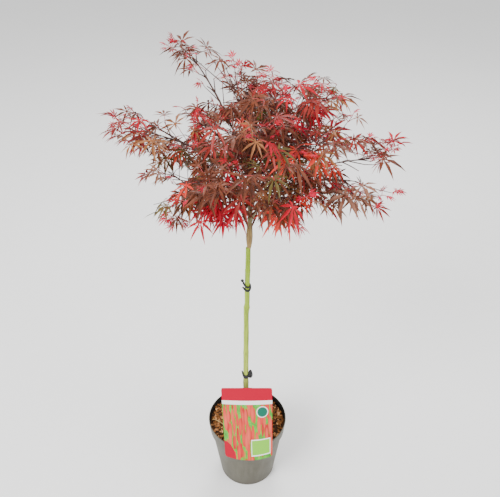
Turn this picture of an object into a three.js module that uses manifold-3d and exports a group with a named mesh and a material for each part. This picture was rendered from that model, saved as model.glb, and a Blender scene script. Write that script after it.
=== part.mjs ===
// A small Japanese maple on a clear stem in a round nursery pot, in millimetres, +Z up.
// The origin is the middle of the pot's flat underside, and -Y is the side that the plant label faces.
import * as THREE from "three";
import { mergeVertices } from "three/addons/utils/BufferGeometryUtils.js";
import Module from "manifold-3d";

const wasm = await Module();
wasm.setup();

// Driving sizes
const gap = 0.3; // running gap between neighbouring pieces
const pointMerge = 0.001; // points closer than this are one point
const shortEdge = 0.02; // a fused solid keeps no detail smaller than this
const pot = {
  height: 182, rimRadius: 95, footRadius: 68.4, wall: 2, floor: 3, sides: 36,
  collarHeight: 33, collarStep: 4.4, collarFlare: 3,
  drainHoles: 6, drainRadius: 5, drainRing: 48,
};
const compost = { depthBelowRim: 14, mound: 2, standRadius: 14, sides: 28 };
const stem = {
  radiusLow: 6.5, radiusAtGraft: 5.1, graftRadius: 6.4, radiusAtFork: 4.6, leaderRadius: 1.9,
  flareRadius: 9.5, flareHeight: 26, graftHeight: 686, forkHeight: 741, leaderHeight: 900,
  leanLow: -3, leanAtFork: 6, leanAtTip: 9, bends: [[0.3, 0], [0.62, 0.2], [1, 0.72]],
  sides: 8, clearSteps: 14, leaderSteps: 6,
};
const tie = { height: 6, thickness: 1.4, slack: 0.15, tailWidth: 3.2, tailSpread: 7, tailTilt: 9, tailOffset: 1.1, sides: 18 };
const ties = [
  { name: "upper_tie", at: 597, tails: [-1, 1], tailLength: 8, knob: 3.2, knobSide: -1 },
  { name: "lower_tie", at: 333, tails: [1], tailLength: 6, knob: 4.8, knobSide: 1 },
];
const label = {
  width: 122, thickness: 0.7, lowY: -113.5, lowZ: 161, bow: 14, columns: 8, rows: 2, topZ: 287, leanGap: 1.1,
  tongueWidth: 34, tongueLength: 15, tongueLean: 1.6, rootAboveRim: 5,
};
const bough = { sides: 5, steps: 4, radiusAtTrunk: 3.1, radiusAtMass: 1.7, heel: 0.85, bendAt: 0.42, samples: 24 };
const twig = { radiusAtBough: 1.6, radiusAtTip: 1, sideRadius: 1.2, sideTip: 0.9, stemSteps: 3, sideSteps: 1, sag: 0.35 };
const leaf = {
  radius: 54, thickness: 1.6, petiole: 22, sag: 0.22, tilt: 0.7,
  sizes: [0.8, 1.15], stalks: [0.8, 1.2], rises: [0.25, -0.05], droops: [0.6, 1.5],
  lobeAngles: [0, 38, 82], lobeLengths: [1, 0.9, 0.62],
  notchAngles: [18, 58, 150], notchLengths: [0.24, 0.2, 0.09],
};
const shoot = {
  along: [0.2, 0.82], lengths: [0.75, 1.25], shorterAtTip: 0.35, turns: [0.85, 1.15], rolls: [-0.45, 0.45],
  endPair: [0.95, 0.75], middlePair: [0.5, 1.25], fanAt: 0.98, fanTurns: [0, -1, 1],
};
const fitting = {
  attempts: 18, shrinkBy: 0.5, turnBack: 0.7, shootShares: [1, 0.72, 0.48], pairsFrom: 36, mostLeaves: 17,
};
const space = {
  heartAt: 0.55, betweenMasses: 0.5, roundLimbs: 4, roundTwigs: 2.5, betweenLeaves: 5.5,
  undersideAtStem: 770, undersideRise: 0.15, frontRise: 0.0019,
};

// Each row is one bough and the mass on it. Bearing is in degrees from +X towards +Y, reach and height
// give the far tip, fork is where the bough leaves the stem, bare is the part of it without leaves,
// arch lifts the limb's middle, and side is the length of its side shoots.
const limbFields = [
  "name", "bearing", "reach", "height", "fork", "bare", "arch", "side", "nodes", "droop", "size", "seed",
];
const limbRows = [
  ["upper_left", 168, 95, 1080, 862, 0.56, 0.62, 30, 3, 0.1, 0.66, 15],
  ["top", 118, 36, 1022, 886, 0.34, 0.62, 60, 4, 0.25, 0.8, 23],
  ["crest", 348, 62, 1016, 880, 0.4, 0.66, 56, 3, 0.25, 0.9, 39],
  ["top_right", 8, 138, 1000, 868, 0.42, 0.74, 56, 4, 0.3, 0.95, 22],
  ["mid_right", 332, 158, 962, 846, 0.42, 0.82, 60, 4, 0.35, 1, 18],
  ["mid_left", 200, 96, 984, 846, 0.42, 0.76, 58, 3, 0.3, 0.95, 14],
  ["front_top", 268, 98, 984, 856, 0.38, 0.8, 66, 3, 0.35, 1, 22],
  ["left", 181, 178, 948, 816, 0.44, 0.84, 56, 4, 0.35, 0.92, 45],
  ["right", 0, 230, 894, 806, 0.44, 0.92, 52, 4, 0.25, 0.92, 41],
  ["front", 284, 154, 938, 812, 0.36, 0.9, 66, 4, 0.4, 1, 20],
  ["lower_left", 206, 142, 876, 768, 0.4, 1, 60, 4, 0.4, 1, 78],
  ["front_left", 246, 146, 906, 780, 0.4, 0.98, 64, 4, 0.4, 1, 18],
  ["lower_right", 344, 208, 878, 766, 0.42, 1.05, 58, 4, 0.35, 0.95, 29],
  ["front_right", 304, 168, 896, 752, 0.4, 1.02, 62, 4, 0.4, 1, 39],
  ["back_left", 138, 166, 890, 792, 0.4, 0.94, 64, 4, 0.35, 1, 24],
  ["back", 92, 168, 900, 810, 0.38, 0.94, 66, 4, 0.35, 1, 84],
  ["back_right", 44, 192, 896, 790, 0.4, 0.94, 64, 4, 0.35, 1, 24],
];
const limbs = limbRows.map((row) => Object.fromEntries(limbFields.map((field, k) => [field, row[k]])));

const up = new THREE.Vector3(0, 0, 1);
const vec = (x, y, z) => new THREE.Vector3(x, y, z);
const radians = THREE.MathUtils.degToRad;
const mix = THREE.MathUtils.lerp;

// The same seed always gives the same run of numbers from 0 to 1
const randomFrom = (seed) => {
  let state = seed * 7919;
  const draw = () => {
    state = (Math.imul(state, 1664525) + 1013904223) >>> 0;
    return state / 2 ** 32;
  };
  for (let i = 0; i < 5; i++) draw();
  return draw;
};

const between = ([low, high], random) => mix(low, high, random());

// Solids

const toSolid = (geometry) => {
  const bare = geometry.clone();
  bare.deleteAttribute("normal");
  bare.deleteAttribute("uv");
  const merged = mergeVertices(bare, pointMerge);
  return new wasm.Manifold(new wasm.Mesh({
    numProp: 3,
    vertProperties: new Float32Array(merged.attributes.position.array),
    triVerts: new Uint32Array(merged.index.array),
  }));
};

const toGeometry = (solid) => {
  const mesh = solid.getMesh();
  const geometry = new THREE.BufferGeometry();
  geometry.setAttribute("position", new THREE.BufferAttribute(mesh.vertProperties, 3));
  geometry.setIndex(new THREE.BufferAttribute(mesh.triVerts, 1));
  geometry.computeVertexNormals();
  return geometry;
};

// Keeps the largest closed body, so loose scraps and sealed hollows go
const largest = (solid) => solid.decompose().reduce((best, body) => (body.volume() > best.volume() ? body : best));

// Joins the solids, drops edges too short to see, then merges close points, which can free another scrap
const fuse = (solids) => {
  const joined = largest(solids.reduce((sum, solid) => sum.add(solid)).simplify(shortEdge));
  return largest(toSolid(toGeometry(joined)));
};

const lathe = (profile, sides) => {
  const geometry = new THREE.LatheGeometry(profile.map(([r, z]) => new THREE.Vector2(r, z)), sides);
  return geometry.rotateX(Math.PI / 2);
};

// A limb along a curve: a regular section drawn out to length 1, then carried onto the curve
const limbGeometry = (curve, radiusAt, sides, steps) => {
  const corners = Array.from({ length: sides }, (_, i) => {
    const angle = i / sides * 2 * Math.PI;
    return new THREE.Vector2(Math.cos(angle), Math.sin(angle));
  });
  const geometry = new THREE.ExtrudeGeometry(new THREE.Shape(corners), { depth: 1, steps, bevelEnabled: false });
  const frames = curve.computeFrenetFrames(steps);
  const place = geometry.attributes.position;
  for (let i = 0; i < place.count; i++) {
    const along = place.getZ(i);
    const ring = Math.round(along * steps);
    const radius = radiusAt(along);
    const point = curve.getPointAt(along)
      .addScaledVector(frames.normals[ring], radius * place.getX(i))
      .addScaledVector(frames.binormals[ring], radius * place.getY(i));
    place.setXYZ(i, point.x, point.y, point.z);
  }
  return geometry;
};

// Pot and compost

const collarBase = pot.height - pot.collarHeight;
const bodyRadiusTop = pot.rimRadius - pot.collarFlare - pot.collarStep;
const collarRadiusLow = pot.rimRadius - pot.collarFlare;

const makePot = () => {
  const shell = toSolid(lathe([
    [0, 0],
    [pot.footRadius - 1.5, 0],
    [pot.footRadius, 1.5],
    [bodyRadiusTop, collarBase],
    [collarRadiusLow, collarBase + 1],
    [pot.rimRadius, pot.height - 1],
    [pot.rimRadius - 0.5, pot.height],
    [pot.rimRadius - pot.wall, pot.height],
    [collarRadiusLow - pot.wall, collarBase + 3],
    [bodyRadiusTop - pot.wall, collarBase + 1],
    [pot.footRadius - pot.wall, pot.floor],
    [0, pot.floor],
  ], pot.sides));
  const holes = Array.from({ length: pot.drainHoles }, (_, i) => {
    const angle = (i + 0.5) / pot.drainHoles * 2 * Math.PI;
    const hole = new THREE.CylinderGeometry(pot.drainRadius, pot.drainRadius, pot.floor * 4, 8).rotateX(Math.PI / 2);
    return toSolid(hole.translate(pot.drainRing * Math.cos(angle), pot.drainRing * Math.sin(angle), 0));
  });
  return holes.reduce((sum, hole) => sum.subtract(hole), shell);
};

const compostTop = pot.height - compost.depthBelowRim;
const groundLevel = compostTop + compost.mound + gap;

const makeCompost = () => {
  const wall = pot.wall + gap;
  const collarSlope = pot.collarFlare / (pot.collarHeight - 1);
  const edge = collarRadiusLow - wall + collarSlope * (compostTop - collarBase - 3);
  return toSolid(lathe([
    [0, pot.floor + gap],
    [pot.footRadius - wall, pot.floor + gap],
    [bodyRadiusTop - wall - gap, collarBase + 1],
    [collarRadiusLow - wall - gap, collarBase + 3 + gap],
    [edge - gap, compostTop - 3],
    [edge - 4, compostTop],
    [compost.standRadius + 20, compostTop + compost.mound * 0.6],
    [compost.standRadius, compostTop + compost.mound],
    [0, compostTop + compost.mound],
  ], compost.sides));
};

// Stem: the clear rootstock, the swollen graft above it, and the leader that the boughs leave

const stemCurve = new THREE.CatmullRomCurve3([
  vec(stem.leanLow, 0, groundLevel),
  ...stem.bends.map(([along, lean]) => vec(
    mix(stem.leanLow, stem.leanAtFork, lean), 0, mix(groundLevel, stem.graftHeight, along))),
  vec(stem.leanAtFork, 0, stem.forkHeight),
  vec(stem.leanAtTip, 0, stem.leaderHeight),
]);

const stemRadiusAt = (z) => {
  if (z < stem.graftHeight - 2) {
    const low = Math.max(0, 1 - (z - groundLevel) / stem.flareHeight);
    const along = (z - groundLevel) / (stem.graftHeight - groundLevel);
    return mix(stem.radiusLow, stem.radiusAtGraft, along) + (stem.flareRadius - stem.radiusLow) * low * low;
  }
  if (z < stem.forkHeight) {
    return mix(stem.graftRadius, stem.radiusAtFork, (z - stem.graftHeight) / (stem.forkHeight - stem.graftHeight));
  }
  return mix(stem.radiusAtFork, stem.leaderRadius, (z - stem.forkHeight) / (stem.leaderHeight - stem.forkHeight));
};

const stemPointAt = (z) => {
  let low = 0;
  let high = 1;
  for (let i = 0; i < 30; i++) {
    const middle = (low + high) / 2;
    if (stemCurve.getPointAt(middle).z < z) low = middle;
    else high = middle;
  }
  return stemCurve.getPointAt(low);
};

// The path is sampled by height, with close rings at the root flare, the graft and the fork
const makeStem = (extra) => {
  const flareTop = groundLevel + stem.flareHeight;
  const clear = [groundLevel, groundLevel + stem.flareHeight / 3, flareTop];
  for (let i = 1; i < stem.clearSteps; i++) clear.push(mix(flareTop, stem.graftHeight, i / stem.clearSteps));
  for (const step of [-3, 3, 22]) clear.push(stem.graftHeight + step);
  clear.push(stem.forkHeight - 12);
  for (let i = 0; i <= stem.leaderSteps; i++) {
    clear.push(mix(stem.forkHeight, stem.leaderHeight, i / stem.leaderSteps));
  }
  const steps = clear.length - 1;
  const geometry = new THREE.CylinderGeometry(1, 1, 1, stem.sides, steps);
  const place = geometry.attributes.position;
  for (let i = 0; i < place.count; i++) {
    const z = clear[Math.round((place.getY(i) + 0.5) * steps)];
    const centre = stemPointAt(z);
    const radius = stemRadiusAt(z) + extra;
    place.setXYZ(i, centre.x + radius * place.getX(i), centre.y - radius * place.getZ(i), z);
  }
  return toSolid(geometry);
};

// Ties: a band round the stem with its tails out to the left and a knob where it is knotted
const makeTie = ({ at, tails, tailLength, knob, knobSide }) => {
  const inner = stemRadiusAt(at) + gap + tie.slack;
  const outer = inner + tie.thickness;
  const half = tie.height / 2;
  const centre = stemPointAt(at);
  const band = toSolid(lathe([[inner, -half], [outer, -half], [outer, half], [inner, half], [inner, -half]], tie.sides));
  const ends = tails.map((side) => {
    const box = new THREE.BoxGeometry(tailLength, tie.thickness, tie.tailWidth);
    box.translate(-inner - tailLength / 2, 0, side * tie.tailOffset);
    return toSolid(box.rotateY(radians(side * tie.tailTilt)).rotateZ(radians(side * tie.tailSpread)));
  });
  const knot = new THREE.SphereGeometry(knob / 2, 8, 6);
  const reach = knobSide < 0 ? inner + tailLength * 0.9 : outer + knob * 0.3;
  knot.translate(knobSide * reach, 0, knobSide < 0 ? knob * 0.6 : 0);
  const clearance = new THREE.CylinderGeometry(inner, inner, tie.height * 4, tie.sides).rotateX(Math.PI / 2);
  return fuse([band, ...ends, toSolid(knot)]).subtract(toSolid(clearance)).translate(centre.x, centre.y, at);
};

// Label: a card bowed round the rim at its foot and flat at its head, where it leans on the stem
const makeLabel = () => {
  const topY = -stemRadiusAt(label.topZ) - label.leanGap;
  const cardHeight = label.topZ - label.lowZ;
  const card = new THREE.BoxGeometry(label.width, label.thickness, cardHeight, label.columns, 1, label.rows);
  const place = card.attributes.position;
  for (let i = 0; i < place.count; i++) {
    const x = place.getX(i);
    const along = place.getZ(i) / cardHeight + 0.5;
    const bow = label.bow * (1 - along) * (2 * x / label.width) ** 2;
    const z = mix(label.lowZ, label.topZ, along);
    place.setXYZ(i, stem.leanLow + x, place.getY(i) + mix(label.lowY, topY, along) + bow, z);
  }
  const rootZ = pot.height + label.rootAboveRim;
  const rootY = mix(label.lowY, topY, (rootZ - label.lowZ) / cardHeight);
  const inside = -(pot.rimRadius - pot.wall - gap - label.thickness);
  const tongue = new THREE.BoxGeometry(label.tongueWidth, label.thickness, label.tongueLength, 2, 1, 1);
  const bend = tongue.attributes.position;
  for (let i = 0; i < bend.count; i++) {
    const x = bend.getX(i);
    const along = bend.getZ(i) / label.tongueLength + 0.5;
    const wall = inside + label.tongueLean * (1 - along) + x * x / (2 * pot.rimRadius);
    const y = along > 0.5 ? Math.max(wall, rootY) - 0.2 : wall;
    bend.setXYZ(i, stem.leanLow + x, bend.getY(i) + y, rootZ - label.tongueLength * (1 - along));
  }
  return fuse([toSolid(card), toSolid(tongue)]);
};

// Limbs: each curve rises from the stem and spreads to its far tip. The bough takes its first part.

const limbCurve = ({ bearing, reach, height, fork, arch }) => {
  const start = stemPointAt(fork);
  const angle = radians(bearing);
  const end = vec(reach * Math.cos(angle), reach * Math.sin(angle), height);
  const middle = start.clone().lerp(end, bough.bendAt);
  middle.z = start.z + (end.z - start.z) * arch;
  return new THREE.QuadraticBezierCurve3(start, middle, end);
};

const partOf = (curve, from, to) => {
  const shares = [0, 1 / 6, 1 / 3, 1 / 2, 2 / 3, 5 / 6, 1];
  return new THREE.CatmullRomCurve3(shares.map((share) => curve.getPoint(mix(from, to, share))));
};

const grown = limbs.map((limb) => {
  const curve = limbCurve(limb);
  const gapShare = gap / curve.getLength();
  return {
    ...limb,
    curve,
    bough: partOf(curve, 0, limb.bare),
    stalk: partOf(curve, limb.bare + gapShare * 1.5, 1),
    heart: curve.getPoint(mix(limb.bare, 1, space.heartAt)),
  };
});

const boughRadiusAt = (limb) => (along) => mix(
  Math.min(bough.radiusAtTrunk, stemRadiusAt(limb.fork) * bough.heel), bough.radiusAtMass, along);

// Points down the middle of every limb with its radius there, for keeping leaves and twigs clear
const limbPoints = [];
for (let z = groundLevel; z <= stem.leaderHeight; z += 5) {
  limbPoints.push({ point: stemPointAt(z), radius: stemRadiusAt(z) });
}
for (const limb of grown) {
  const radiusAt = boughRadiusAt(limb);
  for (let i = 0; i <= bough.samples; i++) {
    const along = i / bough.samples;
    limbPoints.push({ point: limb.bough.getPointAt(along), radius: radiusAt(along) });
  }
}

const inOwnSpace = (limb, point) => grown.every((other) => {
  if (other === limb) return true;
  const apart = limb.heart.distanceTo(other.heart);
  const lead = point.distanceToSquared(other.heart) - point.distanceToSquared(limb.heart);
  return lead / (2 * apart) > space.betweenMasses;
});

const clearOfLimbs = (point, room) => limbPoints.every(
  ({ point: centre, radius }) => centre.distanceTo(point) > radius + room);

// Leaves: a star with five narrow lobes, and a stalk as one more point that ends inside its twig

const halfAngles = leaf.lobeAngles.flatMap((angle, i) => [angle, leaf.notchAngles[i]]);
const halfLengths = leaf.lobeLengths.flatMap((length, i) => [length, leaf.notchLengths[i]]);
const otherHalf = halfAngles.slice(1).reverse().map((angle) => -angle);
const rimAngles = [...halfAngles, 180, ...otherHalf];
const rimLengths = [...halfLengths, 0, ...halfLengths.slice(1).reverse()];

const leafRim = ({ root, centre, forward, normal, radius }) => {
  const side = normal.clone().cross(forward);
  return rimAngles.map((degrees, i) => {
    if (degrees === 180) return root;
    const length = radius * rimLengths[i];
    return centre.clone()
      .addScaledVector(forward, length * Math.cos(radians(degrees)))
      .addScaledVector(side, length * Math.sin(radians(degrees)))
      .addScaledVector(up, -leaf.sag * radius * rimLengths[i] ** 2);
  });
};

const leafSolid = (spec) => {
  const rim = leafRim(spec);
  const geometry = new THREE.SphereGeometry(1, rim.length, 2);
  const place = geometry.attributes.position;
  const half = leaf.thickness / 2;
  for (let i = 0; i < place.count; i++) {
    const row = Math.floor(i / (rim.length + 1));
    const column = i % (rim.length + 1) % rim.length;
    const point = row === 1 ? rim[column] : spec.centre.clone().addScaledVector(spec.normal, half * (1 - row));
    place.setXYZ(i, point.x, point.y, point.z);
  }
  return toSolid(geometry);
};

// A leaf at a place on a twig, on a stalk that leaves it sideways, with its blade level or hanging
const leafAt = (root, along, turn, shrink, limb, random) => {
  const side = along.clone().cross(up).normalize();
  const stalk = along.clone().multiplyScalar(Math.cos(turn))
    .addScaledVector(side, Math.sin(turn))
    .addScaledVector(up, between(leaf.rises, random))
    .normalize();
  const radius = leaf.radius * limb.size * shrink * between(leaf.sizes, random);
  const centre = root.clone().addScaledVector(stalk, leaf.petiole * between(leaf.stalks, random));
  const forward = stalk.clone().addScaledVector(up, -limb.droop * between(leaf.droops, random)).normalize();
  const tilt = vec(random() - 0.5, random() - 0.5, 0).multiplyScalar(leaf.tilt);
  const normal = tilt.add(up);
  normal.addScaledVector(forward, -normal.dot(forward)).normalize();
  return { root, centre, forward, normal, radius };
};

// Points down the middle of each lobe, with the lobe tips and the notches
const leafSamples = (spec) => {
  const rim = leafRim(spec);
  const lobes = rim.filter((_, i) => leaf.lobeAngles.includes(Math.abs(rimAngles[i])));
  const shares = [0.3, 0.5, 0.7, 0.85, 1];
  const blade = [spec.centre, ...lobes.flatMap((tip) => shares.map((share) => spec.centre.clone().lerp(tip, share)))];
  return { blade, all: [...blade, ...rim, spec.centre.clone().lerp(spec.root, 0.5)] };
};

const underside = ({ x, y }) => (
  space.undersideAtStem + space.undersideRise * Math.abs(x) + space.frontRise * Math.min(0, y) ** 2);

const apart = (some, others, least) => some.every((a) => others.every((b) => a.distanceTo(b) > least));

const leafFits = (limb, { blade, all }, growth) => (
  all.every((point) => point.z > underside(point) && inOwnSpace(limb, point))
  && growth.leaves.every((other) => apart(blade, other.blade, space.betweenLeaves))
  && growth.twigs.every((other) => apart(blade, other.points, space.roundTwigs))
  && all.every((point) => clearOfLimbs(point, space.roundLimbs))
);

const twigFits = (limb, curve) => [0.2, 0.4, 0.6, 0.8, 1].every((along) => {
  const point = curve.getPoint(along);
  return inOwnSpace(limb, point) && clearOfLimbs(point, space.roundLimbs * 0.5);
});

// Tries a leaf a few times with new turns, and leaves it out if none fits
const addLeaf = (growth, limb, { holder, root, along, turn }, random) => {
  for (let attempt = 0; attempt < fitting.attempts; attempt++) {
    const share = attempt / fitting.attempts;
    const inward = limb.heart.clone().sub(root).normalize();
    const heading = along.clone().lerp(inward, fitting.turnBack * share).normalize();
    const newTurn = turn + (random() - 0.5) * (0.3 + 0.3 * attempt);
    const spec = leafAt(root, heading, newTurn, 1 - fitting.shrinkBy * share, limb, random);
    const samples = leafSamples(spec);
    if (leafFits(limb, samples, growth)) {
      growth.leaves.push({ ...spec, ...samples });
      holder.leafy = true;
      return;
    }
  }
};

const addTwig = (growth, curve, from, to, steps) => {
  const added = { curve, from, to, steps, points: curve.getPoints(12), leafy: false };
  growth.twigs.push(added);
  return added;
};

// A shoot with a pair of leaves at its end, and another pair half way if it is long
const addShoot = (growth, limb, start, along, turn, length, random) => {
  const side = along.clone().cross(up).normalize();
  const direction = along.clone().multiplyScalar(Math.cos(turn))
    .addScaledVector(side, Math.sin(turn))
    .addScaledVector(up, between(shoot.rolls, random))
    .normalize();
  for (const share of fitting.shootShares) {
    const reach = length * share;
    const end = start.clone().addScaledVector(direction, reach);
    end.z -= reach * limb.droop * twig.sag;
    const curve = new THREE.LineCurve3(start, end);
    if (twigFits(limb, curve)) {
      const holder = addTwig(growth, curve, twig.sideRadius, twig.sideTip, twig.sideSteps);
      const tangent = curve.getTangent(1);
      const pairs = reach > fitting.pairsFrom ? [shoot.endPair, shoot.middlePair] : [shoot.endPair];
      for (const [at, spread] of pairs) {
        const root = curve.getPoint(at);
        for (const hand of [-1, 1]) growth.buds.push({ holder, root, along: tangent, turn: hand * spread });
      }
      return;
    }
  }
};

// Opposite shoots leave the stalk in pairs, and its end carries a fan of leaves
const growMass = (limb) => {
  const random = randomFrom(limb.seed);
  const growth = { leaves: [], twigs: [], buds: [] };
  const holder = addTwig(growth, limb.stalk, twig.radiusAtBough, twig.radiusAtTip, twig.stemSteps);
  const tip = limb.stalk.getTangent(1);
  const fanRoot = limb.stalk.getPoint(shoot.fanAt);
  for (const turn of shoot.fanTurns) growth.buds.push({ holder, root: fanRoot, along: tip, turn });
  for (let node = limb.nodes - 1; node >= 0; node--) {
    const along = mix(...shoot.along, node / (limb.nodes - 1));
    const root = limb.stalk.getPoint(along);
    const tangent = limb.stalk.getTangent(along);
    for (const hand of [-1, 1]) {
      const length = limb.side * between(shoot.lengths, random) * (1.1 - shoot.shorterAtTip * along);
      addShoot(growth, limb, root, tangent, hand * between(shoot.turns, random), length, random);
    }
  }
  for (const bud of growth.buds) {
    if (growth.leaves.length < fitting.mostLeaves) addLeaf(growth, limb, bud, random);
  }
  growth.twigs = growth.twigs.filter((each) => each === holder || each.leafy);
  return growth;
};

const makeMass = (limb) => {
  const { leaves, twigs } = growMass(limb);
  const solids = twigs.map(({ curve, from, to, steps }) => toSolid(
    limbGeometry(curve, (along) => mix(from, to, along), 3, steps)));
  return fuse([...solids, ...leaves.map(leafSolid)]);
};

const makeBough = (limb, fatStem) => {
  const solid = toSolid(limbGeometry(limb.bough, boughRadiusAt(limb), bough.sides, bough.steps));
  return fuse([solid.subtract(fatStem)]);
};

// Finishes

const finish = (color, roughness) => new THREE.MeshStandardMaterial({ color, roughness, metalness: 0 });
const potPlastic = finish("#7f7a6e", 0.55);
const barkMulch = finish("#4a2a18", 0.95);
const greenBark = finish("#9aa842", 0.6);
const twigBark = finish("#5a4038", 0.7);
const tieRubber = finish("#23262a", 0.6);
const cardPrint = finish("#d8404e", 0.4);
const leafColours = ["#7a2f2c", "#b8343c", "#5e3430", "#c8503a"];

const group = new THREE.Group();
const addPiece = (name, solid, material) => {
  const mesh = new THREE.Mesh(toGeometry(solid), material);
  mesh.name = name;
  group.add(mesh);
};

addPiece("pot", makePot(), potPlastic);
addPiece("compost", makeCompost(), barkMulch);
addPiece("stem", makeStem(0), greenBark);
ties.forEach((each) => addPiece(each.name, makeTie(each), tieRubber));
addPiece("plant_label", makeLabel(), cardPrint);
const fatStem = makeStem(gap);
grown.forEach((limb, i) => {
  addPiece(`bough_${limb.name}`, makeBough(limb, fatStem), twigBark);
  addPiece(`leaves_${limb.name}`, makeMass(limb), finish(leafColours[i % leafColours.length], 0.7));
});

export default group;
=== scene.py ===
import math

import bmesh
import bpy
import numpy as np
from mathutils import Matrix, Vector, noise


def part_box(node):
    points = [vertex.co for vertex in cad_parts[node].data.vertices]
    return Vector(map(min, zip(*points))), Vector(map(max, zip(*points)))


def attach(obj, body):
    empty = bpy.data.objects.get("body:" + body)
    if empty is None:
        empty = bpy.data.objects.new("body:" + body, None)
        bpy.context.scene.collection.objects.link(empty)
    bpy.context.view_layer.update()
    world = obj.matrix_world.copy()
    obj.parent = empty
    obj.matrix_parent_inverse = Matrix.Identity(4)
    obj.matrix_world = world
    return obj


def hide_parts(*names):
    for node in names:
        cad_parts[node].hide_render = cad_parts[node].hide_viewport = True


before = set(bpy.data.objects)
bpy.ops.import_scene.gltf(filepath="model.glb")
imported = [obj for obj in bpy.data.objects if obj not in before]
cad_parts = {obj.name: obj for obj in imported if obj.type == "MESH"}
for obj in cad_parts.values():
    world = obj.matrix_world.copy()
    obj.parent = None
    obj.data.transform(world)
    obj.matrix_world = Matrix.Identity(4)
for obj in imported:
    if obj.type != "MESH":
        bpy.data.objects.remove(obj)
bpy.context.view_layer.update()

mm = 0.001
scene = bpy.context.scene
worldUp = np.array([0.0, 0.0, 1.0])


def mix(low, high, share):
    return low + (high - low) * share


def unit(v):
    return v / (np.linalg.norm(v) + 1e-12)


def paint(red, green, blue):
    # 0 to 255 screen values as the shader's linear colour
    def linear(value):
        value /= 255
        return value / 12.92 if value <= 0.04045 else ((value + 0.055) / 1.055) ** 2.4
    return (linear(red), linear(green), linear(blue), 1)


# Node groups and materials

def feed(tree, node, inputs):
    # An input takes a socket to link, or a plain value
    for name, value in inputs.items():
        if isinstance(value, bpy.types.NodeSocket):
            tree.links.new(value, node.inputs[name])
        else:
            node.inputs[name].default_value = value


def newNode(tree, kind, inputs=None, **values):
    # Gives the node's outputs
    node = tree.nodes.new(kind)
    for name, value in values.items():
        setattr(node, name, value)
    feed(tree, node, inputs or {})
    return node.outputs


def mathNode(tree, operation, *inputs, clamp=False):
    outputs = newNode(tree, "ShaderNodeMath", dict(enumerate(inputs)), operation=operation, use_clamp=clamp)
    return outputs["Value"]


def vectorNode(tree, operation, *inputs):
    outputs = newNode(tree, "ShaderNodeVectorMath", dict(enumerate(inputs)), operation=operation)
    return outputs["Value" if operation == "LENGTH" else "Vector"]


def mixNode(tree, share, low, high, kind="RGBA"):
    return newNode(tree, "ShaderNodeMix", {"Factor": share, "A": low, "B": high}, data_type=kind)["Result"]


def rampNode(tree, value, low, high, lowTo=0, highTo=1, kind="LINEAR"):
    inputs = {"Value": value, "From Min": low, "From Max": high, "To Min": lowTo, "To Max": highTo}
    return newNode(tree, "ShaderNodeMapRange", inputs, clamp=True, interpolation_type=kind)["Result"]


def noiseNode(tree, place, scale, detail):
    return newNode(tree, "ShaderNodeTexNoise", {"Vector": place, "Scale": scale, "Detail": detail})["Fac"]


def newGroup(name, inputs, *outputs):
    # A default of four numbers makes a colour socket, of three a vector and of one a plain number
    group = bpy.data.node_groups.new(name, "ShaderNodeTree")
    group.interface.new_socket("Vector", in_out="INPUT", socket_type="NodeSocketVector")
    for label, default in inputs.items():
        kind = {4: "NodeSocketColor", 3: "NodeSocketVector", 1: "NodeSocketFloat"}[np.size(default)]
        group.interface.new_socket(label, in_out="INPUT", socket_type=kind).default_value = default
    for label in outputs:
        kind = "NodeSocketColor" if label == "Color" else "NodeSocketFloat"
        group.interface.new_socket(label, in_out="OUTPUT", socket_type=kind)
    return group, newNode(group, "NodeGroupInput"), group.nodes.new("NodeGroupOutput")


midGrey, darkGrey, paleGrey = (0.5, 0.5, 0.5, 1), (0.2, 0.2, 0.2, 1), (0.8, 0.8, 0.8, 1)


def makeMottle():
    # Two colours in soft patches with fine grain over them
    inputs = {"Light": midGrey, "Dark": darkGrey, "Patches": 20, "Grain": 300, "Contrast": 1}
    group, start, end = newGroup("softMottle", inputs, "Color", "Height")
    patches = noiseNode(group, start["Vector"], start["Patches"], 4)
    grain = noiseNode(group, start["Vector"], start["Grain"], 3)
    spread = rampNode(group, mixNode(group, 0.35, patches, grain, "FLOAT"), 0.36, 0.64)
    amount = mathNode(group, "MULTIPLY", spread, start["Contrast"], clamp=True)
    feed(group, end, {"Color": mixNode(group, amount, start["Light"], start["Dark"]), "Height": grain})
    return group


def makeFade():
    # Blends from one colour to another between two heights, with a ragged edge
    inputs = {"Low": midGrey, "High": darkGrey, "From": 0, "To": 1, "Ragged": 0.02}
    group, start, end = newGroup("heightFade", inputs, "Color")
    split = newNode(group, "ShaderNodeSeparateXYZ", {"Vector": start["Vector"]})
    wave = mathNode(group, "SUBTRACT", noiseNode(group, start["Vector"], 60, 2), 0.5)
    level = mathNode(group, "MULTIPLY_ADD", wave, start["Ragged"], split["Z"])
    share = rampNode(group, level, start["From"], start["To"], kind="SMOOTHSTEP")
    feed(group, end, {"Color": mixNode(group, share, start["Low"], start["High"])})
    return group


def makeStreaks():
    # Stretched noise along Z, for bark lines and drips
    inputs = {"Color": midGrey, "Streak": darkGrey, "Stretch": (400, 400, 30), "Amount": 0.5}
    group, start, end = newGroup("longStreaks", inputs, "Color", "Height")
    lines = noiseNode(group, vectorNode(group, "MULTIPLY", start["Vector"], start["Stretch"]), 1, 3)
    amount = mathNode(group, "MULTIPLY", rampNode(group, lines, 0.45, 0.7), start["Amount"], clamp=True)
    feed(group, end, {"Color": mixNode(group, amount, start["Color"], start["Streak"]), "Height": lines})
    return group


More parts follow.
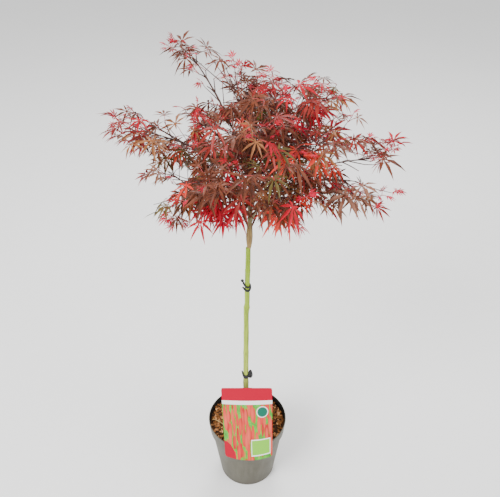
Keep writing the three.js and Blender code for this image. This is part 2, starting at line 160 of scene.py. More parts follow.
def makeSpecks():
    # Small round specks, such as lenticels on bark or dust on plastic
    inputs = {"Color": midGrey, "Speck": paleGrey, "Stretch": (300, 300, 200), "Size": 0.2}
    group, start, end = newGroup("smallSpecks", inputs, "Color", "Mask")
    place = vectorNode(group, "MULTIPLY", start["Vector"], start["Stretch"])
    cells = newNode(group, "ShaderNodeTexVoronoi", {"Vector": place, "Scale": 1})
    mask = rampNode(group, cells["Distance"], 0, start["Size"], 1, 0)
    feed(group, end, {"Color": mixNode(group, mask, start["Color"], start["Speck"]), "Mask": mask})
    return group


softMottle = makeMottle()
heightFade = makeFade()
longStreaks = makeStreaks()
smallSpecks = makeSpecks()


class Finish:
    # A material under construction: its last colour and bump are wired to the shader at the end
    def __init__(self, name, roughness, specular):
        self.material = bpy.data.materials.new(name)
        self.material.use_nodes = True
        self.tree = self.material.node_tree
        self.shader = self.tree.nodes["Principled BSDF"]
        self.place = newNode(self.tree, "ShaderNodeTexCoord")["Object"]
        self.normal = None
        feed(self.tree, self.shader, {"Roughness": roughness, "Specular IOR Level": specular})

    def effect(self, group, **inputs):
        return newNode(self.tree, "ShaderNodeGroup", {"Vector": self.place, **inputs}, node_tree=group)

    def bump(self, height, strength, distance):
        inputs = {"Height": height, "Strength": strength, "Distance": distance}
        if self.normal is not None:
            inputs["Normal"] = self.normal
        self.normal = newNode(self.tree, "ShaderNodeBump", inputs)["Normal"]

    def roughen(self, value, low, high):
        feed(self.tree, self.shader, {"Roughness": rampNode(self.tree, value, 0, 1, low, high)})

    def done(self, colour):
        feed(self.tree, self.shader, {"Base Color": colour})
        if self.normal is not None:
            feed(self.tree, self.shader, {"Normal": self.normal})
        return self.material


def makeSkin(name, roughness, specular, bump=None, rough=None, specks=None, **mottle):
    # A mottled finish, most with a fine relief and some with specks
    finish = Finish(name, roughness, specular)
    skin = finish.effect(softMottle, **mottle)
    colour = finish.effect(smallSpecks, Color=skin["Color"], **specks)["Color"] if specks else skin["Color"]
    if bump:
        finish.bump(skin["Height"], *bump)
    if rough:
        finish.roughen(skin["Height"], *rough)
    return finish.done(colour)


def makePotPlastic():
    finish = Finish("potPlastic", 0.5, 0.25)
    mottle = finish.effect(softMottle, Light=paint(92, 89, 76), Dark=paint(80, 77, 65), Patches=14, Grain=900)
    drips = finish.effect(longStreaks, Color=mottle["Color"], Streak=paint(116, 113, 102),
                          Stretch=(90, 90, 7), Amount=0.25)
    # Darker and browner towards the bottom of the pot
    darkerFoot = finish.effect(heightFade, Low=paint(82, 77, 66), High=drips["Color"], From=0, To=0.03)
    dust = finish.effect(smallSpecks, Color=darkerFoot["Color"], Speck=paint(132, 128, 116),
                         Stretch=(260, 260, 260), Size=0.12)
    finish.bump(mottle["Height"], 0.12, 0.0004)
    finish.roughen(mottle["Height"], 0.42, 0.6)
    return finish.done(dust["Color"])


def makeCompostFinish(name, light, dark):
    finish = Finish(name, 0.92, 0.1)
    mottle = finish.effect(softMottle, Light=light, Dark=dark, Patches=70, Grain=900)
    fibres = finish.effect(longStreaks, Color=mottle["Color"], Streak=dark,
                           Stretch=(900, 120, 900), Amount=0.5)
    finish.bump(fibres["Height"], 0.4, 0.0008)
    return finish.done(fibres["Color"])


def makeGreenBark():
    finish = Finish("greenBark", 0.48, 0.25)
    fade = finish.effect(heightFade, Low=paint(170, 184, 76), High=paint(138, 166, 28),
                         From=0.2, To=0.68, Ragged=0.12)
    lines = finish.effect(longStreaks, Color=fade["Color"], Streak=paint(98, 116, 30),
                          Stretch=(420, 420, 22), Amount=0.8)
    # Painted shade with the bark's own olive: the stem is darker olive from just under the lower tie
    # downwards
    oliveAndShadeUnderTie = finish.effect(heightFade, Low=paint(110, 114, 44), High=lines["Color"],
                         From=0.295, To=0.34, Ragged=0.02)
    foot = finish.effect(heightFade, Low=paint(110, 98, 58), High=oliveAndShadeUnderTie["Color"], From=0.166, To=0.21)
    pores = finish.effect(smallSpecks, Color=foot["Color"], Speck=paint(192, 186, 130),
                          Stretch=(330, 330, 150), Size=0.2)
    finish.bump(lines["Height"], 0.3, 0.0005)
    finish.bump(pores["Mask"], 0.3, 0.0003)
    finish.roughen(lines["Height"], 0.4, 0.62)
    return finish.done(pores["Color"])


def makeLimbBark():
    # Tan above the graft, then greenish brown, then dark brown purple in the crown
    finish = Finish("limbBark", 0.5, 0.25)
    low = finish.effect(heightFade, Low=paint(150, 124, 72), High=paint(104, 92, 52),
                        From=0.725, To=0.765, Ragged=0.04)
    high = finish.effect(heightFade, Low=low["Color"], High=paint(84, 58, 52),
                         From=0.765, To=0.85, Ragged=0.06)
    lines = finish.effect(longStreaks, Color=high["Color"], Streak=paint(70, 46, 38),
                          Stretch=(500, 500, 30), Amount=0.7)
    pores = finish.effect(smallSpecks, Color=lines["Color"], Speck=paint(160, 136, 108),
                          Stretch=(420, 420, 260), Size=0.16)
    finish.bump(lines["Height"], 0.4, 0.0006)
    return finish.done(pores["Color"])


def makeTwigBark(name, light, dark):
    return makeSkin(name, 0.46, 0.25, bump=(0.25, 0.0002), Light=light, Dark=dark, Patches=40, Grain=700,
                    specks={"Speck": paint(160, 120, 100), "Stretch": (700, 700, 700), "Size": 0.14})


print("materials ready")


# Meshes

creaseAngle = math.radians(42)  # edges sharper than this stay sharp


def fromBmesh(name, bm, *materials):
    mesh = bpy.data.meshes.new(name)
    bm.to_mesh(mesh)
    bm.free()
    return addPiece(name, mesh, materials)


def addPiece(name, mesh, materials, smooth=True):
    for material in materials:
        mesh.materials.append(material)
    if smooth:
        mesh.shade_smooth()
        mesh.set_sharp_from_angle(angle=creaseAngle)
    piece = bpy.data.objects.new(name, mesh)
    scene.collection.objects.link(piece)
    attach(piece, "root")
    return piece


# The source's rule, written again: sizes in millimetres

stemSizes = {
    "radiusLow": 6.5, "radiusAtGraft": 5.1, "graftRadius": 6.4, "radiusAtFork": 4.6, "leaderRadius": 1.9,
    "flareRadius": 9.5, "flareHeight": 26, "graftHeight": 686, "forkHeight": 741, "leaderHeight": 900,
    "leanLow": -3, "leanAtFork": 6, "leanAtTip": 9, "bends": [(0.3, 0), (0.62, 0.2), (1, 0.72)],
    "ground": 170.3, "graftLip": 2,
}
boughSizes = {"radiusAtTrunk": 3.1, "radiusAtMass": 1.7, "heel": 0.85, "bendAt": 0.42, "samples": 24}
leafSizes = {
    "radius": 54, "petiole": 22, "sag": 0.22, "tilt": 0.7,
    "sizes": (0.8, 1.15), "stalks": (0.8, 1.2), "rises": (0.25, -0.05), "droops": (0.6, 1.5),
    "lobeAngles": (0, 38, 82), "lobeLengths": (1, 0.9, 0.62),
    "notchAngles": (18, 58, 150), "notchLengths": (0.24, 0.2, 0.09), "samples": (0.3, 0.5, 0.7, 0.85, 1),
}
shootSizes = {
    "along": (0.2, 0.82), "lengths": (0.75, 1.25), "shorterAtTip": 0.35, "turns": (0.85, 1.15),
    "rolls": (-0.45, 0.45), "endPair": (0.95, 0.75), "middlePair": (0.5, 1.25), "fanAt": 0.98,
    "fanTurns": (0, -1, 1), "sag": 0.35, "longerAtFoot": 1.1, "radii": (1.2, 0.75), "stalkRadii": (1.6, 0.8),
    "checkedAt": (0.2, 0.4, 0.6, 0.8, 1),
}
fitting = {
    "attempts": 18, "shrinkBy": 0.5, "turnBack": 0.7, "turnFree": 0.3, "shares": (1, 0.72, 0.48),
    "pairsFrom": 36, "mostLeaves": 17,
}
space = {
    "heartAt": 0.55, "betweenMasses": 0.5, "roundLimbs": 4, "shootsRoundLimbs": 2, "roundTwigs": 2.5,
    "betweenLeaves": 5.5, "undersideAtStem": 770, "undersideRise": 0.15, "frontRise": 0.0019, "gap": 0.3,
    "gapsAtStalk": 1.5,
}
limbFields = (
    "name", "bearing", "reach", "height", "fork", "bare", "arch", "side", "nodes", "droop", "size", "seed",
)
limbRows = [
    ("upper_left", 168, 95, 1080, 862, 0.56, 0.62, 30, 3, 0.1, 0.66, 15),
    ("top", 118, 36, 1022, 886, 0.34, 0.62, 60, 4, 0.25, 0.8, 23),
    ("crest", 348, 62, 1016, 880, 0.4, 0.66, 56, 3, 0.25, 0.9, 39),
    ("top_right", 8, 138, 1000, 868, 0.42, 0.74, 56, 4, 0.3, 0.95, 22),
    ("mid_right", 332, 158, 962, 846, 0.42, 0.82, 60, 4, 0.35, 1, 18),
    ("mid_left", 200, 96, 984, 846, 0.42, 0.76, 58, 3, 0.3, 0.95, 14),
    ("front_top", 268, 98, 984, 856, 0.38, 0.8, 66, 3, 0.35, 1, 22),
    ("left", 181, 178, 948, 816, 0.44, 0.84, 56, 4, 0.35, 0.92, 45),
    ("right", 0, 230, 894, 806, 0.44, 0.92, 52, 4, 0.25, 0.92, 41),
    ("front", 284, 154, 938, 812, 0.36, 0.9, 66, 4, 0.4, 1, 20),
    ("lower_left", 206, 142, 876, 768, 0.4, 1, 60, 4, 0.4, 1, 78),
    ("front_left", 246, 146, 906, 780, 0.4, 0.98, 64, 4, 0.4, 1, 18),
    ("lower_right", 344, 208, 878, 766, 0.42, 1.05, 58, 4, 0.35, 0.95, 29),
    ("front_right", 304, 168, 896, 752, 0.4, 1.02, 62, 4, 0.4, 1, 39),
    ("back_left", 138, 166, 890, 792, 0.4, 0.94, 64, 4, 0.35, 1, 24),
    ("back", 92, 168, 900, 810, 0.38, 0.94, 66, 4, 0.35, 1, 84),
    ("back_right", 44, 192, 896, 790, 0.4, 0.94, 64, 4, 0.35, 1, 24),
]


# What each stage adds to a limb's own seed
seedSteps = {"gaps": 200, "sprays": 300, "fine": 400, "inner": 700, "tints": 900, "hanging": 1100}


def drawsFrom(seed):
    # The source's own generator of random numbers
    state = seed * 7919

    def draw():
        nonlocal state
        state = (state * 1664525 + 1013904223) & 0xFFFFFFFF
        return state / 2 ** 32
    for _ in range(5):
        draw()
    return draw


def between(bounds, draw):
    return mix(bounds[0], bounds[1], draw())


class SmoothPath:
    # A centripetal curve through points, as the source's curves are
    def __init__(self, points):
        self.points = [np.array(p, float) for p in points]

    def at(self, t):
        pts = self.points
        last = len(pts) - 1
        place = last * t
        index = min(int(math.floor(place)), last - 1)
        weight = place - index
        p1, p2 = pts[index], pts[index + 1]
        p0 = pts[index - 1] if index > 0 else 2 * pts[0] - pts[1]
        p3 = pts[index + 2] if index + 2 <= last else 2 * pts[last] - pts[last - 1]
        d0, d1, d2 = (np.sum((b - a) ** 2) ** 0.25 for a, b in ((p0, p1), (p1, p2), (p2, p3)))
        t1 = ((p1 - p0) / d0 - (p2 - p0) / (d0 + d1) + (p2 - p1) / d1) * d1
        t2 = ((p2 - p1) / d1 - (p3 - p1) / (d1 + d2) + (p3 - p2) / d2) * d1
        return (p1 + t1 * weight + (-3 * p1 + 3 * p2 - 2 * t1 - t2) * weight ** 2
                + (2 * p1 - 2 * p2 + t1 + t2) * weight ** 3)

    def tangent(self, t):
        low, high = max(0, t - 1e-4), min(1, t + 1e-4)
        return unit(self.at(high) - self.at(low))

    def even(self, count):
        # Points at equal lengths along the path
        fine = [i / 200 for i in range(201)]
        pts = np.array([self.at(t) for t in fine])
        lengths = np.concatenate([[0], np.cumsum(np.linalg.norm(np.diff(pts, axis=0), axis=1))])
        shares = np.interp(np.linspace(0, lengths[-1], count + 1), lengths, fine)
        return [self.at(t) for t in shares]


def stemPath():
    s = stemSizes
    points = [(s["leanLow"], 0, s["ground"])]
    for along, lean in s["bends"]:
        across = mix(s["leanLow"], s["leanAtFork"], lean)
        points.append((across, 0, mix(s["ground"], s["graftHeight"], along)))
    points += [(s["leanAtFork"], 0, s["forkHeight"]), (s["leanAtTip"], 0, s["leaderHeight"])]
    return SmoothPath(points)


stemLine = stemPath()


def stemRadius(z):
    s = stemSizes
    ground, graft, fork = s["ground"], s["graftHeight"], s["forkHeight"]
    if z < graft - s["graftLip"]:
        low = max(0, 1 - (z - ground) / s["flareHeight"])
        along = (z - ground) / (graft - ground)
        flare = (s["flareRadius"] - s["radiusLow"]) * low * low
        return mix(s["radiusLow"], s["radiusAtGraft"], along) + flare
    if z < fork:
        return mix(s["graftRadius"], s["radiusAtFork"], (z - graft) / (fork - graft))
    return mix(s["radiusAtFork"], s["leaderRadius"], (z - fork) / (s["leaderHeight"] - fork))


def stemPoint(z):
    low, high = 0.0, 1.0
    for _ in range(30):
        middle = (low + high) / 2
        if stemLine.at(middle)[2] < z:
            low = middle
        else:
            high = middle
    return stemLine.at(low)


class Limb:
    def __init__(self, row):
        for field, value in zip(limbFields, row):
            setattr(self, field, value)
        start = stemPoint(self.fork)
        angle = math.radians(self.bearing)
        end = np.array([self.reach * math.cos(angle), self.reach * math.sin(angle), self.height])
        middle = mix(start, end, boughSizes["bendAt"])
        middle[2] = start[2] + (end[2] - start[2]) * self.arch
        self.ends = (start, middle, end)
        length = sum(np.linalg.norm(self.whole((i + 1) / 200) - self.whole(i / 200)) for i in range(200))
        stalkFrom = self.bare + space["gapsAtStalk"] * space["gap"] / length
        self.bough = SmoothPath([self.whole(mix(0, self.bare, i / 6)) for i in range(7)])
        self.stalk = SmoothPath([self.whole(mix(stalkFrom, 1, i / 6)) for i in range(7)])
        self.heart = self.whole(mix(self.bare, 1, space["heartAt"]))

    def whole(self, t):
        start, middle, end = self.ends
        return (1 - t) ** 2 * start + 2 * t * (1 - t) * middle + t * t * end

    def radius(self, along):
        # along runs from 0 at the stem to 1 where the leaves begin
        foot = min(boughSizes["radiusAtTrunk"], stemRadius(self.fork) * boughSizes["heel"])
        return mix(foot, boughSizes["radiusAtMass"], along)


limbs = [Limb(row) for row in limbRows]
hearts = np.array([limb.heart for limb in limbs])

limbPlaces, limbRadii = [], []
height = stemSizes["ground"]
while height <= stemSizes["leaderHeight"]:
    limbPlaces.append(stemPoint(height))
    limbRadii.append(stemRadius(height))
    height += 5
for limb in limbs:
    for i, point in enumerate(limb.bough.even(boughSizes["samples"])):
        limbPlaces.append(point)
        limbRadii.append(limb.radius(i / boughSizes["samples"]))
limbPlaces, limbRadii = np.array(limbPlaces), np.array(limbRadii)


def inOwnSpace(index, points):
    own = np.sum((points - hearts[index]) ** 2, axis=1)
    for other in range(len(hearts)):
        if other == index:
            continue
        apart = np.linalg.norm(hearts[index] - hearts[other])
        lead = np.sum((points - hearts[other]) ** 2, axis=1) - own
        if np.any(lead / (2 * apart) <= space["betweenMasses"]):
            return False
    return True


def distances(a, b):
    return np.linalg.norm(a[:, None, :] - b[None, :, :], axis=2)


def clearOfLimbs(points, room):
    return bool(np.all(distances(points, limbPlaces) > limbRadii[None, :] + room))


def aboveUnderside(points):
    low = (space["undersideAtStem"] + space["undersideRise"] * np.abs(points[:, 0])
           + space["frontRise"] * np.minimum(0, points[:, 1]) ** 2)
    return bool(np.all(points[:, 2] > low))


halfAngles = [a for pair in zip(leafSizes["lobeAngles"], leafSizes["notchAngles"]) for a in pair]
halfLengths = [a for pair in zip(leafSizes["lobeLengths"], leafSizes["notchLengths"]) for a in pair]
rimAngles = halfAngles + [180] + [-a for a in reversed(halfAngles[1:])]
rimLengths = halfLengths + [0] + list(reversed(halfLengths[1:]))


def leafSamples(spec):
    side = np.cross(spec["normal"], spec["forward"])
    centre, forward, radius = spec["centre"], spec["forward"], spec["radius"]
    rim = []
    for degrees, share in zip(rimAngles, rimLengths):
        if degrees == 180:
            rim.append(spec["root"])
            continue
        length = radius * share
        angle = math.radians(degrees)
        rim.append(centre + forward * length * math.cos(angle) + side * length * math.sin(angle)
                   - worldUp * leafSizes["sag"] * radius * share ** 2)
    lobes = [p for p, degrees in zip(rim, rimAngles) if abs(degrees) in leafSizes["lobeAngles"]]
    blade = [centre] + [mix(centre, tip, share) for tip in lobes for share in leafSizes["samples"]]
    every = blade + rim + [mix(centre, spec["root"], 0.5)]
    return np.array(blade), np.array(every)


def leafAt(root, along, turn, rise, radius, stalkShare, droop, tilt, draw):
    # A leaf's place and attitude at the end of its stalk
    side = unit(np.cross(along, worldUp))
    stalk = unit(along * math.cos(turn) + side * math.sin(turn) + worldUp * rise)
    centre = root + stalk * leafSizes["petiole"] * stalkShare
    forward = unit(stalk - worldUp * droop)
    normal = np.array([draw() - 0.5, draw() - 0.5, 0]) * tilt + worldUp
    normal = unit(normal - forward * normal.dot(forward))
    return {"root": root, "centre": centre, "forward": forward, "normal": normal, "radius": radius}


def turnedBack(bud, limb, share):
    # The bud's heading, turned towards the heart of its mass
    inward = unit(limb.heart - bud["root"])
    return unit(mix(bud["along"], inward, fitting["turnBack"] * share))


class Mass:
    # One mass of foliage: its twigs, and the leaves on them
    def __init__(self, index):
        self.index = index
        self.limb = limbs[index]
        self.leaves = []
        self.twigs = []
        self.buds = []
        self.low, self.high = (np.array(corner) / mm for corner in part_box("leaves_" + self.limb.name))

    def addTwig(self, path, start, end, order):
        twig = {"path": path, "from": start, "to": end, "order": order, "leaves": 0,
                "points": np.array([path(i / 12) for i in range(13)])}
        self.twigs.append(twig)
        return twig

    def leafFits(self, blade, every):
        if not aboveUnderside(every) or not inOwnSpace(self.index, every):
            return False
        if self.leaves:
            others = np.concatenate([leaf["blade"] for leaf in self.leaves])
            if np.any(distances(blade, others) <= space["betweenLeaves"]):
                return False
        twigPoints = np.concatenate([twig["points"] for twig in self.twigs])
        if np.any(distances(blade, twigPoints) <= space["roundTwigs"]):
            return False
        return clearOfLimbs(every, space["roundLimbs"])

    def addLeaf(self, bud, draw):
        limb = self.limb
        for attempt in range(fitting["attempts"]):
            share = attempt / fitting["attempts"]
            turn = bud["turn"] + (draw() - 0.5) * fitting["turnFree"] * (1 + attempt)
            rise = between(leafSizes["rises"], draw)
            shrink = 1 - fitting["shrinkBy"] * share
            radius = leafSizes["radius"] * limb.size * shrink * between(leafSizes["sizes"], draw)
            stalkShare = between(leafSizes["stalks"], draw)
            droop = limb.droop * between(leafSizes["droops"], draw)
            spec = leafAt(bud["root"], turnedBack(bud, limb, share), turn, rise, radius, stalkShare, droop,
                          leafSizes["tilt"], draw)
            blade, every = leafSamples(spec)
            if self.leafFits(blade, every):
                spec.update(blade=blade, twig=bud["twig"])
                self.leaves.append(spec)
                return

    def addShoot(self, start, along, turn, length, draw):
        side = unit(np.cross(along, worldUp))
        rise = between(shootSizes["rolls"], draw)
        direction = unit(along * math.cos(turn) + side * math.sin(turn) + worldUp * rise)
        for share in fitting["shares"]:
            reach = length * share
            end = start + direction * reach
            end[2] -= reach * self.limb.droop * shootSizes["sag"]
            samples = np.array([mix(start, end, t) for t in shootSizes["checkedAt"]])
            if not inOwnSpace(self.index, samples) or not clearOfLimbs(samples, space["shootsRoundLimbs"]):
                continue
            twig = self.addTwig(lambda t: mix(start, end, t), *shootSizes["radii"], 1)
            pairs = [shootSizes["endPair"]]
            if reach > fitting["pairsFrom"]:
                pairs.append(shootSizes["middlePair"])
            for at, spread in pairs:
                for hand in (-1, 1):
                    self.buds.append({"twig": twig, "root": mix(start, end, at), "along": unit(end - start),
                                      "turn": hand * spread})
            return

    def grow(self):
        limb = self.limb
        draw = drawsFrom(limb.seed)
        stalk = self.addTwig(limb.stalk.at, *shootSizes["stalkRadii"], 0)
        for turn in shootSizes["fanTurns"]:
            self.buds.append({"twig": stalk, "root": limb.stalk.at(shootSizes["fanAt"]),
                              "along": limb.stalk.tangent(1), "turn": turn})
        for node in range(limb.nodes - 1, -1, -1):
            along = mix(*shootSizes["along"], node / (limb.nodes - 1))
            root, tangent = limb.stalk.at(along), limb.stalk.tangent(along)
            for hand in (-1, 1):
                length = (limb.side * between(shootSizes["lengths"], draw)
                          * (shootSizes["longerAtFoot"] - shootSizes["shorterAtTip"] * along))
                self.addShoot(root, tangent, hand * between(shootSizes["turns"], draw), length, draw)
        for bud in self.buds:
            if len(self.leaves) < fitting["mostLeaves"]:
                self.addLeaf(bud, draw)


class Crown:
    # Every leaf and twig so far, so that later ones keep clear of them
    def __init__(self):
        self.leaves = []
        most = fineGrowth["mostLeaves"]
        self.centres, self.radii = np.zeros((most, 3)), np.zeros(most)
        self.twigPoints = np.zeros((0, 3))

    def addLeaf(self, spec):
        self.centres[len(self.leaves)] = spec["centre"]
        self.radii[len(self.leaves)] = spec["radius"]
        self.leaves.append(spec)

    def addTwig(self, twig):
        self.twigPoints = np.concatenate([self.twigPoints, twig["points"]])

    def isClear(self, spec, blade, rooms):
        count = len(self.leaves)
        centre, radius = spec["centre"], spec["radius"]
        away = np.linalg.norm(self.centres[:count] - centre, axis=1) - self.radii[:count] - radius
        for index in np.nonzero(away < rooms["betweenLeaves"])[0]:
            if np.any(distances(blade, self.leaves[index]["blade"]) <= rooms["betweenLeaves"]):
                return False
        reach = radius + rooms["twigSearch"]
        near = self.twigPoints[np.linalg.norm(self.twigPoints - centre, axis=1) < reach]
        return not (len(near) and np.any(distances(blade, near) <= rooms["roundTwigs"]))


photoCamera = {
    "place": (0.00664, -1.06828, 1.45327), "tilt": 54.516, "lens": 46.8, "sensor": 36, "width": 500,
    "middle": (250, 248.5), "gapFilled": 0.16,
}
# Where sky shows from the front, on a view 500 wide: centre, half sizes, share of leaves left out
skyGaps = np.array([
    (212, 99, 10, 14, 0.95), (227, 100, 9, 9, 0.85), (167, 131, 9, 10, 0.93), (182, 132, 9, 9, 0.8),
    (166, 115, 10, 8, 0.9), (182, 115, 9, 7, 0.82), (150, 115, 8, 6, 0.4), (182, 148, 8, 8, 0.6),
    (182, 160, 8, 9, 0.75), (135, 164, 14, 10, 0.95), (148, 180, 9, 8, 0.6), (146, 190, 14, 9, 0.97),
    (165, 189, 10, 9, 0.9), (182, 176, 8, 8, 0.85), (347, 162, 9, 8, 0.97), (332, 160, 9, 9, 0.85),
    (332, 177, 8, 7, 0.55), (362, 87, 10, 8, 0.97), (409, 155, 8, 14, 0.9), (106, 146, 8, 8, 0.85),
    (362, 163, 9, 8, 0.92), (362, 178, 10, 8, 0.92), (380, 178, 12, 7, 0.9), (362, 192, 8, 7, 0.8),
    (378, 192, 10, 7, 0.6), (318, 147, 9, 8, 0.88), (335, 146, 9, 7, 0.7), (352, 147, 7, 6, 0.4),
    (333, 128, 7, 7, 0.55), (302, 207, 9, 8, 0.72), (317, 208, 9, 7, 0.65), (332, 208, 9, 7, 0.5),
    (325, 223, 18, 8, 0.97), (350, 225, 18, 8, 0.95), (212, 80, 8, 8, 0.4), (228, 84, 9, 8, 0.85),
    (205, 72, 14, 8, 0.95), (350, 101, 8, 8, 0.35), (177, 77, 11, 8, 0.9), (287, 69, 10, 8, 0.95),
    (303, 66, 10, 7, 0.95), (244, 44, 12, 8, 0.9), (213, 38, 13, 7, 0.97), (183, 101, 8, 6, 0.99),
    (160, 108, 9, 6, 0.97), (228, 238, 10, 7, 0.92), (392, 160, 8, 7, 0.5), (107, 152, 12, 7, 0.97),
    (118, 99, 18, 8, 0.98), (258, 228, 9, 8, 0.8), (150, 206, 8, 8, 0.55), (197, 87, 8, 8, 0.6),
    (256, 55, 9, 8, 0.93), (347, 132, 7, 8, 0.55), (242, 54, 8, 6, 0.75), (137, 222, 12, 10, 0.98),
    (137, 115, 7, 6, 0.6), (270, 222, 7, 7, 0.5), (285, 55, 25, 8, 0.97), (352, 122, 7, 12, 0.4),
    (362, 125, 12, 12, 0.8), (265, 64, 8, 6, 0.7), (302, 98, 9, 9, 0.8), (287, 88, 8, 9, 0.6),
    (242, 98, 7, 7, 0.4), (318, 130, 7, 7, 0.4), (197, 136, 7, 8, 0.5), (182, 125, 7, 7, 0.9),
    (175, 140, 8, 8, 0.6), (242, 138, 7, 6, 0.5), (262, 132, 7, 6, 0.4), (180, 192, 7, 7, 0.35),
    (228, 129, 9, 9, 0.78), (213, 132, 9, 9, 0.82), (232, 205, 7, 7, 0.3), (252, 211, 8, 9, 0.93),
    (263, 214, 8, 6, 0.8), (271, 69, 9, 6, 0.8), (320, 70, 10, 6, 0.8), (251, 228, 9, 10, 0.95),
    (246, 240, 16, 6, 0.9), (197, 218, 7, 7, 0.35), (197, 238, 24, 9, 0.93), (345, 205, 7, 6, 0.3),
    (374, 164, 8, 8, 0.7), (325, 98, 8, 8, 0.35), (342, 84, 9, 8, 0.97), (318, 54, 16, 10, 0.95),
    (333, 72, 14, 9, 0.95), (362, 72, 14, 10, 0.95), (298, 72, 8, 7, 0.9), (130, 207, 12, 10, 0.95),
    (125, 160, 14, 6, 0.9), (385, 128, 14, 9, 0.85), (168, 38, 8, 7, 0.5),
])


def inGap(points, chance):
    # Whether a leaf would fill a gap that should show sky
    tilt = math.radians(photoCamera["tilt"])
    away = points - np.array(photoCamera["place"]) / mm
    deep = away[:, 1] * math.sin(tilt) - away[:, 2] * math.cos(tilt)
    up = away[:, 1] * math.cos(tilt) + away[:, 2] * math.sin(tilt)
    scale = photoCamera["width"] * photoCamera["lens"] / photoCamera["sensor"]
    across = photoCamera["middle"][0] + scale * away[:, 0] / deep
    down = photoCamera["middle"][1] - scale * up / deep
    gaps = skyGaps[skyGaps[:, 4] > chance]
    x, y = (across[:, None] - gaps[:, 0]) / gaps[:, 2], (down[:, None] - gaps[:, 1]) / gaps[:, 3]
    return bool(np.any(np.mean(x ** 2 + y ** 2 < 1, axis=0) > photoCamera["gapFilled"]))


fineGrowth = {
    "full": (((8, -8, 872), (118, 145, 88)), ((52, 0, 972), (82, 92, 62)), ((30, 84, 902), (110, 70, 56))),
    "fades": 0.4, "most": 0.48, "hang": 16, "lowest": 782, "reachRoom": 14, "arch": 0.08, "mostLeaves": 4000,
    "twigAt": (0.3, 0.7), "stalkAt": (0.1, 0.34, 0.6), "boughAt": (0.42, 0.58, 0.74, 0.9), "backRise": 0.45,
    "hangAt": (0.0, 0.25, 0.5, 0.75), "hangBelow": 910, "step": 0.02,
    "leaderFrom": 806, "leaderTo": 892, "leaderShoots": 7, "goldenTurn": 2.4, "leaderSeed": 511,
    "turns": (0.6, 1.25), "sizes": (0.66, 0.96), "shrinkBy": 0.4, "stalk": 0.9, "attempts": 9,
    "turnFree": 0.4, "tilt": 1.3, "droops": (0.2, 2.3), "leastDroop": 0.25,
    "rooms": {"betweenLeaves": 2.6, "roundTwigs": 1.2, "roundLimbs": 1.2, "newTwig": 1.5, "twigSearch": 4},
}
# Each kind of finer twig, with its leaves: where along it, turned how far, how likely
twigKinds = {
    "outer": {"rise": (-0.35, 0.55), "lengths": (16, 36), "radii": (0.72, 0.5),
              "leaves": ((1, 0.55, 1), (1, -0.55, 1), (1, 0, 0.4))},
    "inner": {"rise": (-0.4, 0.75), "lengths": (22, 48), "radii": (1.0, 0.6),
              "leaves": ((1, 0.6, 1), (1, -0.6, 1), (1, 0, 0.5), (0.55, 1.3, 0.7), (0.55, -1.3, 0.7))},
    "hanging": {"rise": (-0.9, -0.3), "lengths": (14, 30), "radii": (0.7, 0.5),
                "leaves": ((1, 0.5, 1), (1, -0.5, 1))},
    "leader": {"rise": (-0.4, 0.75), "lengths": (22, 46), "radii": (1.0, 0.6),
               "leaves": ((1, 0.6, 1), (1, -0.6, 1), (1, 0, 1), (0.6, 1.3, 0.6), (0.6, -1.3, 0.6))},
}
youngGrowth = {
    "chance": 0.25, "lengths": (5, 12), "turn": 0.6, "shootRise": (0.1, 0.7), "radii": (0.6, 0.42),
    "spreads": (-0.8, 0.8, 0, -0.3), "sizes": (0.28, 0.46), "rise": (0.1, 0.9), "stalk": 0.45,
}


def fineLeaf(mass, crown, bud, draw, size, young=False):
    # One leaf on a finer twig, turned back to the mass until it keeps clear of everything
    g = fineGrowth
    rises = youngGrowth["rise"] if young else leafSizes["rises"]
    petiole = youngGrowth["stalk"] if young else g["stalk"]
    chance = draw()
    for attempt in range(g["attempts"]):
        share = attempt / g["attempts"]
        turn = bud["turn"] + (draw() - 0.5) * g["turnFree"] * (1 + attempt)
        rise = between(rises, draw)
        radius = leafSizes["radius"] * size * (1 - g["shrinkBy"] * share)
        stalkShare = between(leafSizes["stalks"], draw) * petiole
        droop = 0 if young else max(g["leastDroop"], mass.limb.droop) * between(g["droops"], draw)
        spec = leafAt(bud["root"], turnedBack(bud, mass.limb, share), turn, rise, radius, stalkShare, droop,
                      g["tilt"], draw)
        blade, every = leafSamples(spec)
        if np.any(every < crownLow - g["reachRoom"]) or np.any(every > crownHigh + g["reachRoom"]):
            continue
        if not (aboveUnderside(every + worldUp * g["hang"]) and crown.isClear(spec, blade, g["rooms"])):
            continue
        if inGap(blade, chance) or not clearOfLimbs(every, g["rooms"]["roundLimbs"]):
            continue
        spec.update(blade=blade, twig=bud["twig"], young=young)
        mass.leaves.append(spec)
        crown.addLeaf(spec)
        bud["twig"]["leaves"] += 1
        return


def fineTwig(mass, root, along, turn, rise, length, radii, order):
    side = unit(np.cross(along, worldUp))
    direction = unit(along * math.cos(turn) + side * math.sin(turn) + worldUp * rise)
    end = root + direction * length
    samples = np.array([mix(root, end, t) for t in (0.5, 0.8, 1)])
    if end[2] < fineGrowth["lowest"] or not clearOfLimbs(samples, fineGrowth["rooms"]["newTwig"]):
        return None
    bend = worldUp * length * fineGrowth["arch"]
    twig = mass.addTwig(lambda t: mix(root, end, t) + bend * 4 * t * (1 - t), *radii, order)
    twig["along"] = direction
    return twig


def growTwigs(mass, crown, kind, root, along, draw, hands=(-1, 1), lift=0):
    # A finer twig to either side with its leaves, or no twig where none fits
    shape = twigKinds[kind]
    for hand in hands:
        turn = hand * between(fineGrowth["turns"], draw) if hand else 0
        rise = between(shape["rise"], draw) + lift
        length = between(shape["lengths"], draw) * (1 + lift)
        twig = fineTwig(mass, root, along, turn, rise, length, shape["radii"], 2)
        if twig is None:
            continue
        for at, spread, chance in shape["leaves"]:
            if draw() < chance:
                bud = {"twig": twig, "root": twig["path"](at), "along": twig["along"], "turn": spread}
                fineLeaf(mass, crown, bud, draw, between(fineGrowth["sizes"], draw))
        if twig["leaves"]:
            crown.addTwig(twig)
        else:
            mass.twigs.remove(twig)


